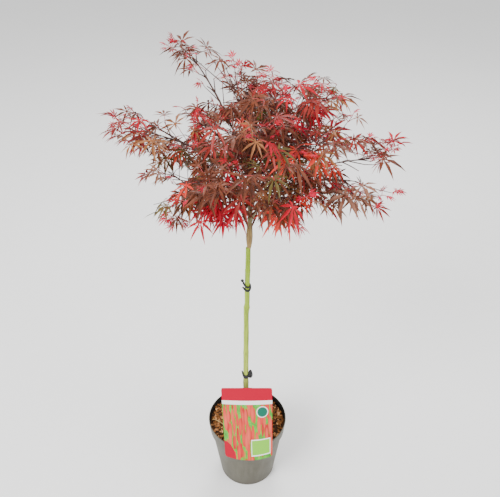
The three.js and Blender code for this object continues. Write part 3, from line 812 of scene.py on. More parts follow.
def fullness(point):
    # The chance of a finer twig: certain in the middle of the crown, and less towards its outside
    g = fineGrowth
    away = min(np.linalg.norm((point - np.array(middle)) / np.array(radii)) for middle, radii in g["full"])
    return min(g["most"], 1 - (away - 1) / g["fades"])


# Longer shoots by limb: where on its outer half each starts, its end, sag, leaf size, pairs, bright tip
sprays = {
    "upper_left": [
        (0.8, (-126, 12, 1094), -0.05, 0.78, 1, True), (0.35, (-66, 4, 1046), 0.08, 0.66, 1, False),
        (0.02, (-72, 6, 1030), 0.0, 0.66, 0, False),
    ],
    "top": [
        (0.75, (-114, 18, 1100), 0.02, 0.8, 2, True), (0.6, (-8, 32, 1050), 0.05, 0.5, 1, True),
        (0.5, (-62, 24, 1077), -0.05, 0.74, 1, False), (0.8, (-21, 30, 1066), 0.16, 0.5, 1, True),
        (0.5, (-40, 24, 1070), 0.0, 0.72, 0, False), (0.2, (0, 78, 1000), 0.0, 0.75, 4, False),
    ],
    "crest": [
        (0.8, (46, 16, 1046), 0.16, 0.5, 2, True), (0.2, (60, 72, 1000), 0.0, 0.75, 4, False),
    ],
    "top_right": [
        (0.8, (158, 20, 1028), 0.16, 0.5, 2, True), (0.5, (128, 22, 1042), 0.05, 0.55, 2, True),
        (0.3, (120, 64, 980), 0.0, 0.75, 4, False),
    ],
    "left": [
        (0.8, (-222, -26, 981), 0.14, 0.82, 2, True), (0.65, (-204, -34, 942), 0.08, 0.85, 0, False),
        (0.7, (-220, -30, 962), 0.16, 0.7, 2, False), (0.5, (-188, -25, 990), 0.0, 0.66, 2, False),
        (0.6, (-214, -34, 948), 0.1, 0.72, 2, False), (0.75, (-214, -20, 978), 0.05, 0.7, 2, False),
        (0.6, (-170, -30, 916), 0.15, 0.75, 2, False), (0.35, (-166, -20, 972), 0.0, 0.62, 1, False),
    ],
    "right": [
        (0.8, (256, -4, 926), 0.16, 0.85, 2, True), (0.75, (258, -4, 910), 0.08, 0.85, 0, False),
        (0.7, (262, -10, 892), 0.1, 0.85, 1, False),
    ],
    "mid_right": [
        (0.9, (212, -10, 932), 0.05, 0.9, 2, False), (0.8, (184, -10, 980), 0.16, 0.5, 2, True),
        (0.5, (158, -20, 970), 0.05, 0.75, 3, False),
    ],
    "lower_right": [
        (0.8, (244, -60, 852), 0.16, 0.7, 1, True), (0.55, (186, -76, 866), 0.05, 0.95, 2, False),
        (0.8, (214, -86, 846), 0.1, 0.85, 3, False), (0.95, (262, -62, 858), 0.05, 0.5, 1, True),
    ],
    "lower_left": [
        (0.5, (-168, -66, 836), 0.1, 0.85, 2, False), (0.7, (-132, -98, 830), 0.1, 0.85, 2, True),
        (0.4, (-112, -104, 824), 0.1, 0.9, 2, True), (0.35, (-146, -40, 893), 0.05, 0.85, 1, False),
    ],
    "front_left": [
        (0.5, (-62, -124, 836), 0.1, 0.85, 1, False), (0.7, (-86, -118, 832), 0.1, 0.85, 3, True),
        (0.9, (-42, -128, 840), 0.1, 0.8, 2, True),
    ],
    "front": [
        (0.3, (-14, -130, 834), 0.1, 0.8, 1, False), (0.9, (58, -136, 848), 0.05, 0.75, 3, False),
        (0.95, (84, -136, 840), 0.1, 0.75, 2, True), (0.85, (82, -132, 836), 0.1, 0.85, 0, False),
    ],
    "mid_left": [
        (0.7, (-84, -14, 1002), 0.0, 0.6, 1, True),
    ],
    "back": [
        (0.1, (20, 100, 962), 0.0, 0.8, 5, False), (0.5, (-10, 142, 935), 0.0, 0.8, 4, False),
    ],
    "back_right": [
        (0.1, (95, 88, 960), 0.0, 0.8, 5, False), (0.5, (130, 112, 930), 0.0, 0.8, 4, False),
    ],
    "back_left": [
        (0.1, (-60, 82, 950), 0.0, 0.8, 5, False), (0.5, (-90, 112, 922), 0.0, 0.8, 4, False),
    ],
}


sprayShape = {
    "radii": (1.1, 0.5), "pairsAt": (0.4, 0.9), "turns": (0.6, 1.2), "sizes": (0.85, 1.2), "brightSize": 0.4,
    "brightSpreads": (0.7, -0.7, 0, 1.6, -1.6), "endSpreads": (0.5, -0.5),
}


def growSprays(mass, crown):
    s = sprayShape
    draw = drawsFrom(mass.limb.seed + seedSteps["sprays"])
    for station, end, sag, size, pairs, bright in sprays.get(mass.limb.name, ()):
        start, end = mass.limb.stalk.at(station), np.array(end, float)
        middle = mix(start, end, 0.5) - worldUp * sag * np.linalg.norm(end - start)
        path = SmoothPath([start, middle, end])
        twig = mass.addTwig(path.at, *s["radii"], 1)
        buds = [(mix(*s["pairsAt"], k / max(1, pairs - 1)), hand * between(s["turns"], draw), size, False)
                for k in range(pairs) for hand in (-1, 1)]
        if bright:
            buds += [(1, spread, s["brightSize"], True) for spread in s["brightSpreads"]]
        else:
            buds += [(1, spread, size, False) for spread in s["endSpreads"]]
        for at, spread, scale, young in buds:
            bud = {"twig": twig, "root": path.at(at), "along": path.tangent(at), "turn": spread}
            fineLeaf(mass, crown, bud, draw, scale * between(s["sizes"], draw), young)
        crown.addTwig(twig)


def growYoung(mass, crown, draw):
    # Small bright new leaves beyond the far tip of the limb and at the ends of some shoots
    y = youngGrowth
    for twig in list(mass.twigs):
        if twig["order"] > 1 or (twig["order"] == 1 and draw() > y["chance"]):
            continue
        tip = twig["path"](1)
        along = unit(tip - twig["path"](0.9))
        length = between(y["lengths"], draw)
        turn = (draw() - 0.5) * y["turn"]
        shoot = fineTwig(mass, tip, along, turn, between(y["shootRise"], draw), length, y["radii"], 3)
        if shoot is None:
            continue
        for spread in y["spreads"]:
            bud = {"twig": shoot, "root": shoot["path"](1), "along": along, "turn": spread}
            fineLeaf(mass, crown, bud, draw, between(y["sizes"], draw), young=True)
        if not shoot["leaves"]:
            mass.twigs.remove(shoot)


def growFine(mass, crown):
    # Finer twigs on every shoot of the source, each with a pair of smaller leaves
    g = fineGrowth
    draw = drawsFrom(mass.limb.seed + seedSteps["fine"])
    growYoung(mass, crown, draw)
    for parent in [twig for twig in mass.twigs if twig["order"] < 2]:
        path = parent["path"]
        for station in g["stalkAt"] if parent["order"] == 0 else g["twigAt"]:
            if draw() > fullness(path(station)):
                continue
            along = unit(path(min(1, station + g["step"])) - path(station - g["step"]))
            growTwigs(mass, crown, "outer", path(station), along, draw)


def growInner(mass, crown):
    # Short shoots on the inner part of the bough, which fill the middle of the crown
    lift = fineGrowth["backRise"] if mass.limb.name.startswith("back") else 0
    draw = drawsFrom(mass.limb.seed + seedSteps["inner"])
    bough = mass.limb.bough
    for station in fineGrowth["boughAt"]:
        if draw() <= fullness(bough.at(station)):
            growTwigs(mass, crown, "inner", bough.at(station), bough.tangent(station), draw, lift=lift)


def growHanging(mass, crown):
    # Short drooping twigs under the lower limbs
    draw = drawsFrom(mass.limb.seed + seedSteps["hanging"])
    stalk = mass.limb.stalk
    if mass.limb.height <= fineGrowth["hangBelow"]:
        for station in fineGrowth["hangAt"]:
            growTwigs(mass, crown, "hanging", stalk.at(station), stalk.tangent(station), draw)


def growLeader(mass, crown):
    g = fineGrowth
    draw = drawsFrom(g["leaderSeed"])
    for k in range(g["leaderShoots"]):
        root = stemPoint(mix(g["leaderFrom"], g["leaderTo"], k / (g["leaderShoots"] - 1)))
        bearing = k * g["goldenTurn"]
        along = np.array([math.cos(bearing), math.sin(bearing), 0])
        growTwigs(mass, crown, "leader", root, along, draw, hands=(0,))


masses = [Mass(index) for index in range(len(limbs))]
crownLow = np.min([mass.low for mass in masses], axis=0)
crownHigh = np.max([mass.high for mass in masses], axis=0)
crown = Crown()
for mass in masses:
    mass.grow()
    draw = drawsFrom(mass.limb.seed + seedSteps["gaps"])
    mass.leaves = [leaf for leaf in mass.leaves if not inGap(leaf["blade"], draw())]
    for leaf in mass.leaves:
        crown.addLeaf(leaf)
    for twig in mass.twigs:
        crown.addTwig(twig)
sourceLeaves = len(crown.leaves)
for grow in (growSprays, growHanging, growInner, growFine):
    for mass in masses:
        grow(mass, crown)
growLeader(masses[1], crown)
print("grown", sourceLeaves, "leaves as in the source,", len(crown.leaves), "with the finer twigs")


# Twigs, petioles and leaves as joined meshes

class Joined:
    # Collects points and faces of many small things for one mesh
    def __init__(self):
        self.points, self.faces, self.count = [], [], 0

    def add(self, points, faces):
        self.points.append(points)
        self.faces += [tuple(i + self.count for i in face) for face in faces]
        self.count += len(points)

    def piece(self, name, *materials, smooth=True):
        mesh = bpy.data.meshes.new(name)
        mesh.from_pydata([tuple(p) for p in np.concatenate(self.points) * mm], [], self.faces)
        mesh.update()
        return addPiece(name, mesh, materials, smooth)


def framesAlong(points):
    tangents = np.gradient(points, axis=0)
    tangents /= np.linalg.norm(tangents, axis=1)[:, None]
    across = unit(np.cross(tangents[0], [0.3, 0.2, 1]))
    frames = []
    for tangent in tangents:
        across = unit(across - tangent * across.dot(tangent))
        frames.append((across, np.cross(tangent, across)))
    return frames


def tube(points, radii, sides):
    rings = []
    for point, radius, (across, over) in zip(points, radii, framesAlong(points)):
        for k in range(sides):
            angle = 2 * math.pi * k / sides
            rings.append(point + radius * (math.cos(angle) * across + math.sin(angle) * over))
    faces = []
    for ring in range(len(points) - 1):
        for k in range(sides):
            a, b = ring * sides + k, ring * sides + (k + 1) % sides
            faces.append((a, b, b + sides, a + sides))
    faces.append(tuple(range(sides - 1, -1, -1)))
    faces.append(tuple(range((len(points) - 1) * sides, len(points) * sides)))
    return np.array(rings), faces


leafBlade = {
    "angles": (-128, -80, -39, 0, 39, 80, 128), "lengths": (0.36, 0.7, 0.94, 1.0, 0.94, 0.7, 0.36),
    "stations": (0.14, 0.44, 0.74), "widths": (0.024, 0.077, 0.043),
    "smallBelow": 0.5, "smallStations": (0.5,), "smallWidths": (0.05,),
    "size": (0.78, 1.0), "notch": 0.075, "notchBehind": 0.03, "fold": (0.3, 0.8), "twist": 1.2, "sway": 0.16,
    "closed": (0.8, 1.18), "youngClosed": 0.7, "curl": (-0.08, 0.24), "roll": 0.9, "pitch": (-0.12, 0.45),
    "jitter": 9, "lobeSizes": (0.86, 1.04), "lobeWidths": (0.85, 1.1), "widthByLength": 0.3,
}


def turnPair(first, second, angle):
    cos, sin = math.cos(angle), math.sin(angle)
    return first * cos + second * sin, second * cos - first * sin


def leafMesh(spec, draw):
    # A star of seven narrow lobes, each folded along its middle, twisted a little and hanging at its tip
    b = leafBlade
    radius = spec["radius"] * between(b["size"], draw)
    side = np.cross(spec["normal"], spec["forward"])
    side, normal = turnPair(side, spec["normal"], (draw() - 0.5) * b["roll"])
    forward, normal = turnPair(spec["forward"], normal, -between(b["pitch"], draw))
    closed = between(b["closed"], draw) * (b["youngClosed"] if spec.get("young") else 1)
    curl = between(b["curl"], draw)
    points, drops, faces = [(0.0, 0.0, 0.0)], [0.0], []
    lobes = len(b["angles"])

    def addPoint(reach, heading, flat=0.0, high=0.0):
        # reach along the lobe, flat across it and high above it
        points.append((reach * math.cos(heading) - flat * math.sin(heading),
                       reach * math.sin(heading) + flat * math.cos(heading), high))
        drops.append(reach ** 2)

    for angle, after in zip(b["angles"], b["angles"][1:]):
        addPoint(b["notch"], math.radians((angle + after) / 2 * closed))
    addPoint(b["notchBehind"], math.pi)
    for i, angle in enumerate(b["angles"]):
        turned = math.radians(angle * closed + (draw() - 0.5) * b["jitter"])
        length = b["lengths"][i] * between(b["lobeSizes"], draw)
        small = b["lengths"][i] < b["smallBelow"]
        fold, twist, sway = between(b["fold"], draw), (draw() - 0.5) * b["twist"], (draw() - 0.5) * b["sway"]
        left, right, middle = 1 + i, 1 + (i - 1) % lobes, 0
        for station, width in zip(b["smallStations"] if small else b["stations"],
                                  b["smallWidths"] if small else b["widths"]):
            wide = width * (1 - b["widthByLength"] * (1 - length)) * between(b["lobeWidths"], draw)
            tilt = twist * station
            index = len(points)
            for hand in (0, 1, -1):
                flat = hand * wide * math.cos(tilt)
                high = hand * wide * math.sin(tilt) + abs(hand) * fold * wide
                addPoint(station * length, turned + sway * station, flat, high)
            faces.append((middle, index, index + 1, left))
            faces.append((middle, right, index + 2, index))
            middle, left, right = index, index + 1, index + 2
        addPoint(length, turned + sway)
        faces.append((middle, len(points) - 1, left))
        faces.append((middle, right, len(points) - 1))
    places = np.array(points)
    shape = places[:, :1] * forward + places[:, 1:2] * side + places[:, 2:] * normal
    shape -= worldUp * ((leafSizes["sag"] + curl) * np.array(drops))[:, None]
    return spec["centre"] + radius * shape, faces


tints = {
    "Maroon": (paint(122, 62, 37), paint(66, 30, 18)),
    "Brown": (paint(160, 102, 60), paint(106, 62, 35)),
    # Greyish mauve: the paler leaf undersides, and painted sheen standing in for gloss on the upper sides of
    # leaves
    "MauveUndersideAndSheen": (paint(152, 104, 82), paint(116, 76, 61)),
    "Wine": (paint(150, 42, 34), paint(108, 28, 24)),
    "Crimson": (paint(188, 20, 42), paint(144, 14, 30)),
    "Coral": (paint(216, 66, 48), paint(184, 44, 36)),
    "Olive": (paint(104, 88, 38), paint(74, 60, 26)),
    "Green": (paint(108, 128, 38), paint(84, 94, 32)),
    "Pink": (paint(214, 32, 68), paint(180, 14, 48)),
}
tintPlaces = [  # centre in mm, how far it reaches, tint, how sure
    ((-25, -125, 933), 34, "Maroon", 0.9), ((-74, -118, 863), 34, "Crimson", 0.8),
    ((-131, -98, 843), 20, "Coral", 0.6), ((-60, 22, 1080), 34, "Maroon", 0.9),
    ((20, -95, 966), 45, "Maroon", 0.85), ((-50, -110, 935), 42, "Maroon", 0.8),
    ((-2, -30, 1006), 42, "Maroon", 0.8), ((90, -85, 955), 32, "Coral", 0.35),
    ((-24, -60, 983), 34, "Maroon", 0.7), ((-143, -95, 853), 34, "Olive", 0.3),
    ((-211, -30, 962), 34, "Wine", 0.5), ((-69, -50, 997), 26, "Crimson", 0.5),
    ((100, -40, 1004), 34, "Crimson", 0.4), ((144, -30, 984), 40, "Brown", 0.6),
    # Greyish mauve here partly paints sheen on the leaves of the right side
    ((193, -60, 884), 40, "MauveUndersideAndSheen", 0.7), ((237, -80, 854), 40, "Brown", 0.55),
    ((40, -120, 940), 34, "Olive", 0.3), ((49, -10, 1043), 50, "Crimson", 0.5),
    ((116, 0, 1034), 55, "Crimson", 0.35), ((-82, -60, 1026), 45, "Crimson", 0.7),
    ((-91, -60, 980), 35, "Crimson", 0.4), ((-228, -30, 985), 50, "Crimson", 0.7),
    ((-29, -140, 871), 50, "Crimson", 0.75), ((79, -130, 840), 50, "Coral", 0.7),
    ((-126, -100, 838), 50, "Coral", 0.4), ((132, -80, 936), 40, "Coral", 0.25),
    ((44, -130, 947), 40, "Olive", 0.25), ((54, -150, 866), 45, "Olive", 0.2),
    ((181, -60, 855), 50, "Crimson", 0.3), ((249, -80, 812), 50, "Crimson", 0.3),
    # Greyish mauve here partly paints sheen on the leaves of the right side
    ((263, 0, 928), 50, "Crimson", 0.55), ((189, -40, 948), 60, "MauveUndersideAndSheen", 0.45),
    ((-92, -120, 883), 50, "Maroon", 0.7), ((-48, -130, 955), 60, "Maroon", 0.75),
    ((0, 0, 980), 80, "Maroon", 0.5), ((-90, 15, 1085), 60, "Maroon", 0.8),
    ((-160, -30, 915), 40, "Brown", 0.5), ((-170, -25, 965), 35, "Maroon", 0.8),
    ((0, 0, 900), 90, "Olive", 0.25), ((0, 0, 900), 90, "Green", 0.12),
]
tintShares = (
    ("Maroon", 0.41), ("Brown", 0.2), ("Wine", 0.14), ("MauveUndersideAndSheen", 0.08), ("Crimson", 0.05), ("Coral", 0.03),
    ("Olive", 0.03),
)


def tintOf(point, draw):
    for centre, reach, tint, sure in tintPlaces:
        if np.linalg.norm(point - np.array(centre)) < reach and draw() < sure:
            return tint
    pick = draw()
    for tint, share in tintShares:
        pick -= share
        if pick < 0:
            return tint
    return "Maroon"


# Old leaves high in the crown have the darker tints
largeLeaf = {"radius": 44, "above": 915, "within": 90}
leafPaint = {
    "newTint": 0.5, "pink": 0.6, "bright": ("Crimson", "Coral", "Pink"), "brightShine": 0.15, "shine": 0.3,
    "roughness": 0.46, "rough": (0.38, 0.58), "bump": (0.2, 0.0003),
    "mottle": {"Patches": 45, "Grain": 420, "Contrast": 0.9},
}
stalkShape = {"stations": (0, 0.35, 0.7, 1), "radii": (0.7, 0.58, 0.52, 0.48), "sides": 4, "arch": 1.2}
twigShape = {"steps": {1: 5, 2: 3, 3: 3}, "arch": 1.0, "sides": 5}


def finalTint(leaf, tint, draw):
    large = leaf["radius"] > largeLeaf["radius"] and leaf["centre"][2] > largeLeaf["above"]
    if leaf.get("young"):
        return "Pink" if draw() < leafPaint["pink"] else "Crimson"
    if large and tint in ("Crimson", "Coral"):
        return "Wine"
    if large and tint in ("Brown", "MauveUndersideAndSheen") and abs(leaf["centre"][0]) < largeLeaf["within"]:
        return "Maroon"
    return tint


leafJoined = {tint: Joined() for tint in tints}
twigJoined, petioleJoined = Joined(), Joined()
for mass in masses:
    draw = drawsFrom(mass.limb.seed + seedSteps["tints"])
    sprayTint = {}
    for leaf in mass.leaves:
        key = id(leaf["twig"])
        if key not in sprayTint or draw() < leafPaint["newTint"]:
            sprayTint[key] = tintOf(leaf["centre"], draw)
        tint = finalTint(leaf, sprayTint[key], draw)
        leafJoined[tint].add(*leafMesh(leaf, draw))
        path = [mix(leaf["root"], leaf["centre"], t) + worldUp * stalkShape["arch"] * math.sin(math.pi * t)
                for t in stalkShape["stations"]]
        petioleJoined.add(*tube(np.array(path), stalkShape["radii"], stalkShape["sides"]))
    for twig in mass.twigs:
        if twig["order"] == 0:
            continue
        steps = twigShape["steps"][twig["order"]]
        arch = worldUp * twigShape["arch"] if twig["order"] == 1 else 0
        shares = [i / steps for i in range(steps + 1)]
        points = [twig["path"](t) + arch * math.sin(math.pi * t) for t in shares]
        radii = [mix(twig["from"], twig["to"], t) for t in shares]
        twigJoined.add(*tube(np.array(points), radii, twigShape["sides"]))

leafNodes = ["leaves_" + limb.name for limb in limbs]
for tint, joined in leafJoined.items():
    light, dark = tints[tint]
    shine = leafPaint["brightShine" if tint in leafPaint["bright"] else "shine"]
    skin = makeSkin("leaf" + tint, leafPaint["roughness"], shine, bump=leafPaint["bump"],
                    rough=leafPaint["rough"], Light=light, Dark=dark, **leafPaint["mottle"])
    piece = joined.piece("leaves" + tint, skin)
    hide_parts(*leafNodes)
twigs = twigJoined.piece("twigs", makeTwigBark("twigBark", paint(92, 60, 54), paint(64, 40, 38)))
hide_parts(*leafNodes)
petioleSkin = makeTwigBark("petioleSkin", paint(190, 82, 80), paint(140, 50, 52))
petioles = petioleJoined.piece("petioles", petioleSkin)
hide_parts(*leafNodes)
print("leaves and twigs ready")


# Stem and limbs, swept ring by ring

def sweep(bm, points, radiusAt, sides):
    # Extrudes a ring along the points; radiusAt(ring, angle) gives the relief
    frames = framesAlong(np.array(points))
    ring = bmesh.ops.create_circle(bm, cap_ends=True, segments=sides, radius=1)["verts"]
    edges = list({edge for vert in ring for edge in vert.link_edges if len(edge.link_faces) <= 1})

    def settle(verts, index):
        across, over = frames[index]
        for k, vert in enumerate(verts):
            angle = 2 * math.pi * k / sides
            outward = math.cos(angle) * across + math.sin(angle) * over
            vert.co = Vector((points[index] + radiusAt(index, angle) * outward) * mm)

    settle(ring, 0)
    for index in range(1, len(points)):
        grown = bmesh.ops.extrude_edge_only(bm, edges=edges)["geom"]
        fresh = {g for g in grown if isinstance(g, bmesh.types.BMVert)}
        ring = [next(e.other_vert(old) for e in old.link_edges if e.other_vert(old) in fresh) for old in ring]
        edges = [g for g in grown if isinstance(g, bmesh.types.BMEdge) and all(v in fresh for v in g.verts)]
        settle(ring, index)
    bmesh.ops.contextual_create(bm, geom=edges)


stemRelief = {
    "sides": 26, "step": 3.0, "ripple": 0.16, "graft": 698, "slopeFrom": 684, "slope": 0.55, "slopeFoot": 4,
    # Nodes on the bark: height and swelling, each with a lower and longer one under it
    "nodes": ((236, 0.5), (304, 0.7), (402, 0.5), (462, 0.4), (536, 1.3), (636, 0.5)), "nodeLength": 5,
    "underNode": (0.35, 9, 7),
    # Bends to the side: how far, at what height, over what length
    "bends": ((0.9, 548, 22), (-0.9, 520, 30)), "lastBend": (0.7, 660, 38),
}
limbRelief = {
    # Height and radius of the swollen graft
    "graft": ((688, 2.6), (694, 3.8), (700, 5.0), (708, 6.0), (722, 6.7), (738, 5.7), (752, 4.6)),
    "graftRidges": 0.07, "graftShift": (1.2, -0.8, 0), "graftShiftAt": (694, 24),
    "leaderSteps": 90, "leaderSides": 20, "leaderRipple": 0.05, "forkSwelling": (0.5, 2, 4),
    "steps": 34, "sides": 9, "reach": 0.985, "tipRadius": 0.8, "bend": 3.2, "bendOften": 7,
    "nodeSwelling": 0.22, "nodeLength": 0.012, "ripple": 0.06, "rippleOften": 0.35,
}


def bump(z, centre, width):
    return math.exp(-((z - centre) / width) ** 2)


def makeStem():
    s = stemRelief
    bm = bmesh.new()
    top = s["graft"]
    count = int((top - stemSizes["ground"]) / s["step"])
    heights = [mix(stemSizes["ground"], top, i / count) for i in range(count + 1)]
    aside, bendFrom, bendLength = s["lastBend"]
    points = []
    for z in heights:
        across = sum(size * bump(z, centre, length) for size, centre, length in s["bends"])
        across -= aside * max(0, (z - bendFrom) / bendLength)
        points.append(stemPoint(z) + np.array([across, 0, 0]))
    share, lower, longer = s["underNode"]

    def radiusAt(index, angle):
        z = heights[index]
        radius = stemRadius(min(z, stemSizes["graftHeight"] - 3))
        for height, size in s["nodes"]:
            radius += size * (bump(z, height, s["nodeLength"]) + share * bump(z, height - lower, longer))
        place = Vector((math.cos(angle) * 2.2, math.sin(angle) * 2.2, z * 0.022))
        return radius + s["ripple"] * noise.noise(place * 1.7) * 2

    sweep(bm, points, radiusAt, s["sides"])
    # The cut at the graft slopes down to the left
    low = s["slopeFrom"]
    for vert in bm.verts:
        if vert.co.z > low * mm:
            share = (vert.co.z / mm - low) / (top - low)
            vert.co.z += (vert.co.x - (points[-1][0] + s["slopeFoot"]) * mm) * s["slope"] * share
    bmesh.ops.recalc_face_normals(bm, faces=bm.faces)
    return fromBmesh("stemBark", bm, makeGreenBark())


def makeLimbs():
    r = limbRelief
    bm = bmesh.new()
    graftHeights, graftRadii = zip(*r["graft"])
    steps = r["leaderSteps"]
    heights = [mix(graftHeights[0], stemSizes["leaderHeight"] - 1, i / steps) for i in range(steps + 1)]
    points = [stemPoint(z) + np.array(r["graftShift"]) * bump(z, *r["graftShiftAt"]) for z in heights]
    forkSize, forkBelow, forkLength = r["forkSwelling"]

    def leaderRadius(index, angle):
        z = heights[index]
        radius = stemRadius(z)
        if z < graftHeights[-1]:
            radius = float(np.interp(z, graftHeights, graftRadii))
            radius *= 1 + r["graftRidges"] * math.sin(angle * 4 + z * 0.03)
        radius += sum(forkSize * bump(z, limb.fork - forkBelow, forkLength) for limb in limbs)
        place = Vector((math.cos(angle) * 1.6, math.sin(angle) * 1.6, z * 0.05))
        return radius * (1 + r["leaderRipple"] * noise.noise(place))

    sweep(bm, points, leaderRadius, r["leaderSides"])
    for limb in limbs:
        shares = [r["reach"] * i / r["steps"] for i in range(r["steps"] + 1)]
        nodesAt = [limb.bare * at for at in fineGrowth["boughAt"]]
        for k in range(limb.nodes):
            nodesAt.append(mix(limb.bare, 1, mix(*shootSizes["along"], k / (limb.nodes - 1))))
        path = []
        for t in shares:
            bend = np.array(noise.noise_vector(Vector((t * r["bendOften"], limb.seed, 0)))) * r["bend"]
            path.append(limb.whole(t) + (bend * math.sin(math.pi * min(1, t * 1.4)) if t < limb.bare else 0))

        def limbRadius(index, angle):
            t = shares[index]
            if t < limb.bare:
                radius = limb.radius(t / limb.bare)
            else:
                radius = mix(boughSizes["radiusAtMass"], r["tipRadius"], (t - limb.bare) / (1 - limb.bare))
            swell = sum(bump(t, at, r["nodeLength"]) for at in nodesAt)
            place = Vector((math.cos(angle), math.sin(angle), index * r["rippleOften"] + limb.seed))
            return radius * (1 + r["nodeSwelling"] * swell + r["ripple"] * noise.noise(place))

        sweep(bm, path, limbRadius, r["sides"])
    bmesh.ops.recalc_face_normals(bm, faces=bm.faces)
    return fromBmesh("limbs", bm, makeLimbBark())


stemPiece = makeStem()
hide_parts("stem")
limbPiece = makeLimbs()
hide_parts("stem", *["bough_" + limb.name for limb in limbs])
print("stem and limbs ready")


# Pot

potSizes = {
    "height": 182, "rimRadius": 95, "footRadius": 68.4, "wall": 2.0, "floor": 3.0, "collarBase": 149,
    "bodyTop": 87.6, "collarLow": 92, "steps": 96, "holes": 6, "holeRadius": 5, "holeRing": 48,
}


def makePot():
    p = potSizes
    foot, bodyTop, collarLow, rim = p["footRadius"], p["bodyTop"], p["collarLow"], p["rimRadius"]
    floor, collar, top, wall = p["floor"], p["collarBase"], p["height"], p["wall"]
    outline = [
        (0.0, 0.0), (foot - 3, 0.0), (foot - 0.9, 0.5), (foot, 2.2),
        (mix(foot, bodyTop, 0.5), mix(2.2, collar, 0.5)), (bodyTop, collar - 1.2), (bodyTop + 0.8, collar),
        (collarLow - 0.8, collar + 0.2), (collarLow, collar + 1.4), (rim - 0.5, top - 3.4), (rim, top - 2.6),
        (rim, top - 0.9), (rim - 0.7, top), (rim - wall + 0.4, top), (rim - wall, top - 0.6),
        (collarLow - wall, collar + 3), (bodyTop - wall, collar + 1), (foot - wall, floor), (0.0, floor),
    ]
    bm = bmesh.new()
    verts = [bm.verts.new((r * mm, 0, z * mm)) for r, z in outline]
    edges = [bm.edges.new(pair) for pair in zip(verts, verts[1:])]
    bmesh.ops.spin(bm, geom=verts + edges, cent=(0, 0, 0), axis=(0, 0, 1), dvec=(0, 0, 0),
                   angle=2 * math.pi, steps=p["steps"], use_merge=True, use_duplicate=False)
    bmesh.ops.remove_doubles(bm, verts=bm.verts, dist=1e-6)
    bmesh.ops.recalc_face_normals(bm, faces=bm.faces)
    for face in bm.faces:
        middle = face.calc_center_median()
        inward = face.normal.x * middle.x + face.normal.y * middle.y < 0
        face.material_index = 1 if inward or (face.normal.z > 0.5 and middle.z < 0.01) else 0
    inside = makeSkin("potInside", 0.6, 0.2, bump=(0.15, 0.0004), Light=paint(34, 33, 31),
                      Dark=paint(22, 21, 20), Patches=30, Grain=700,
                      specks={"Speck": paint(80, 70, 56), "Stretch": (300, 300, 300), "Size": 0.1})
    pot = fromBmesh("potShell", bm, makePotPlastic(), inside)
    cutters = bmesh.new()
    ring, radius = p["holeRing"] * mm, p["holeRadius"] * mm
    for k in range(p["holes"]):
        angle = (k + 0.5) / p["holes"] * 2 * math.pi
        place = Matrix.Translation((ring * math.cos(angle), ring * math.sin(angle), 0))
        bmesh.ops.create_cone(cutters, cap_ends=True, segments=24, radius1=radius, radius2=radius, depth=0.02,
                              matrix=place)
    cutterMesh = bpy.data.meshes.new("drainCutters")
    cutters.to_mesh(cutterMesh)
    cutters.free()
    cutter = bpy.data.objects.new("drainCutters", cutterMesh)
    scene.collection.objects.link(cutter)
    cut = pot.modifiers.new("drainHoles", "BOOLEAN")
    cut.object = cutter
    cut.operation = "DIFFERENCE"
    cut.solver = "EXACT"
    finished = bpy.data.meshes.new_from_object(pot.evaluated_get(bpy.context.evaluated_depsgraph_get()))
    pot.modifiers.clear()
    pot.data = finished
    bpy.data.objects.remove(cutter)
    return pot


pot = makePot()
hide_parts("pot")
print("pot ready")


# Compost: a lumpy bed with bark chips, fibres and one straw on it

compostSizes = {
    "level": 168.0, "mound": 2.0, "moundReach": 70, "edge": 90.4, "edgeFrom": 82, "edgeSlope": 0.25,
    "skirt": ((88.8, 156), (84.2, 146), (65.6, 5)), "cells": 90, "stemRoom": 8.5, "seed": 77,
    # Lumps: how often, which sample of the noise, how high
    "lumps": ((0.09, 3, 1.8), (0.35, 9, 0.9)),
}
chipSizes = {
    "count": 2100, "fromEdge": 5, "lengths": (2.2, 8.5), "widths": (1.1, 3.2), "thicknesses": (0.4, 1.1),
    "corners": (0.72, 0.5), "tilts": (0.8, 0.9), "lift": (0.3, 0.9),
    "kinds": ("Dark", "Dark", "Brown", "Brown", "Rust"),
}
fibreSizes = {
    "count": 260, "fromEdge": 9, "curl": 1.8, "lengths": (6, 20), "lift": 0.9, "arch": 0.8, "radius": 0.32,
}
strawSizes = {
    "path": [(-86, -1, 171.5), (-80, -5, 175.5), (-72, -10, 176.2), (-64, -14, 174.6), (-56, -19, 171.2)],
    "radius": 1.0, "ripple": 0.2, "steps": 16,
}


def compostHeight(x, y):
    c = compostSizes
    reach = math.hypot(x, y)
    height = c["level"] + c["mound"] * max(0, 1 - reach / c["moundReach"])
    for often, sample, high in c["lumps"]:
        height += noise.noise(Vector((x * often, y * often, sample))) * high
    return height - max(0, reach - c["edgeFrom"]) * c["edgeSlope"]


def onCompost(fromEdge, draw):
    reach = (compostSizes["edge"] - fromEdge) * math.sqrt(draw())
    bearing = 2 * math.pi * draw()
    return reach * math.cos(bearing), reach * math.sin(bearing)


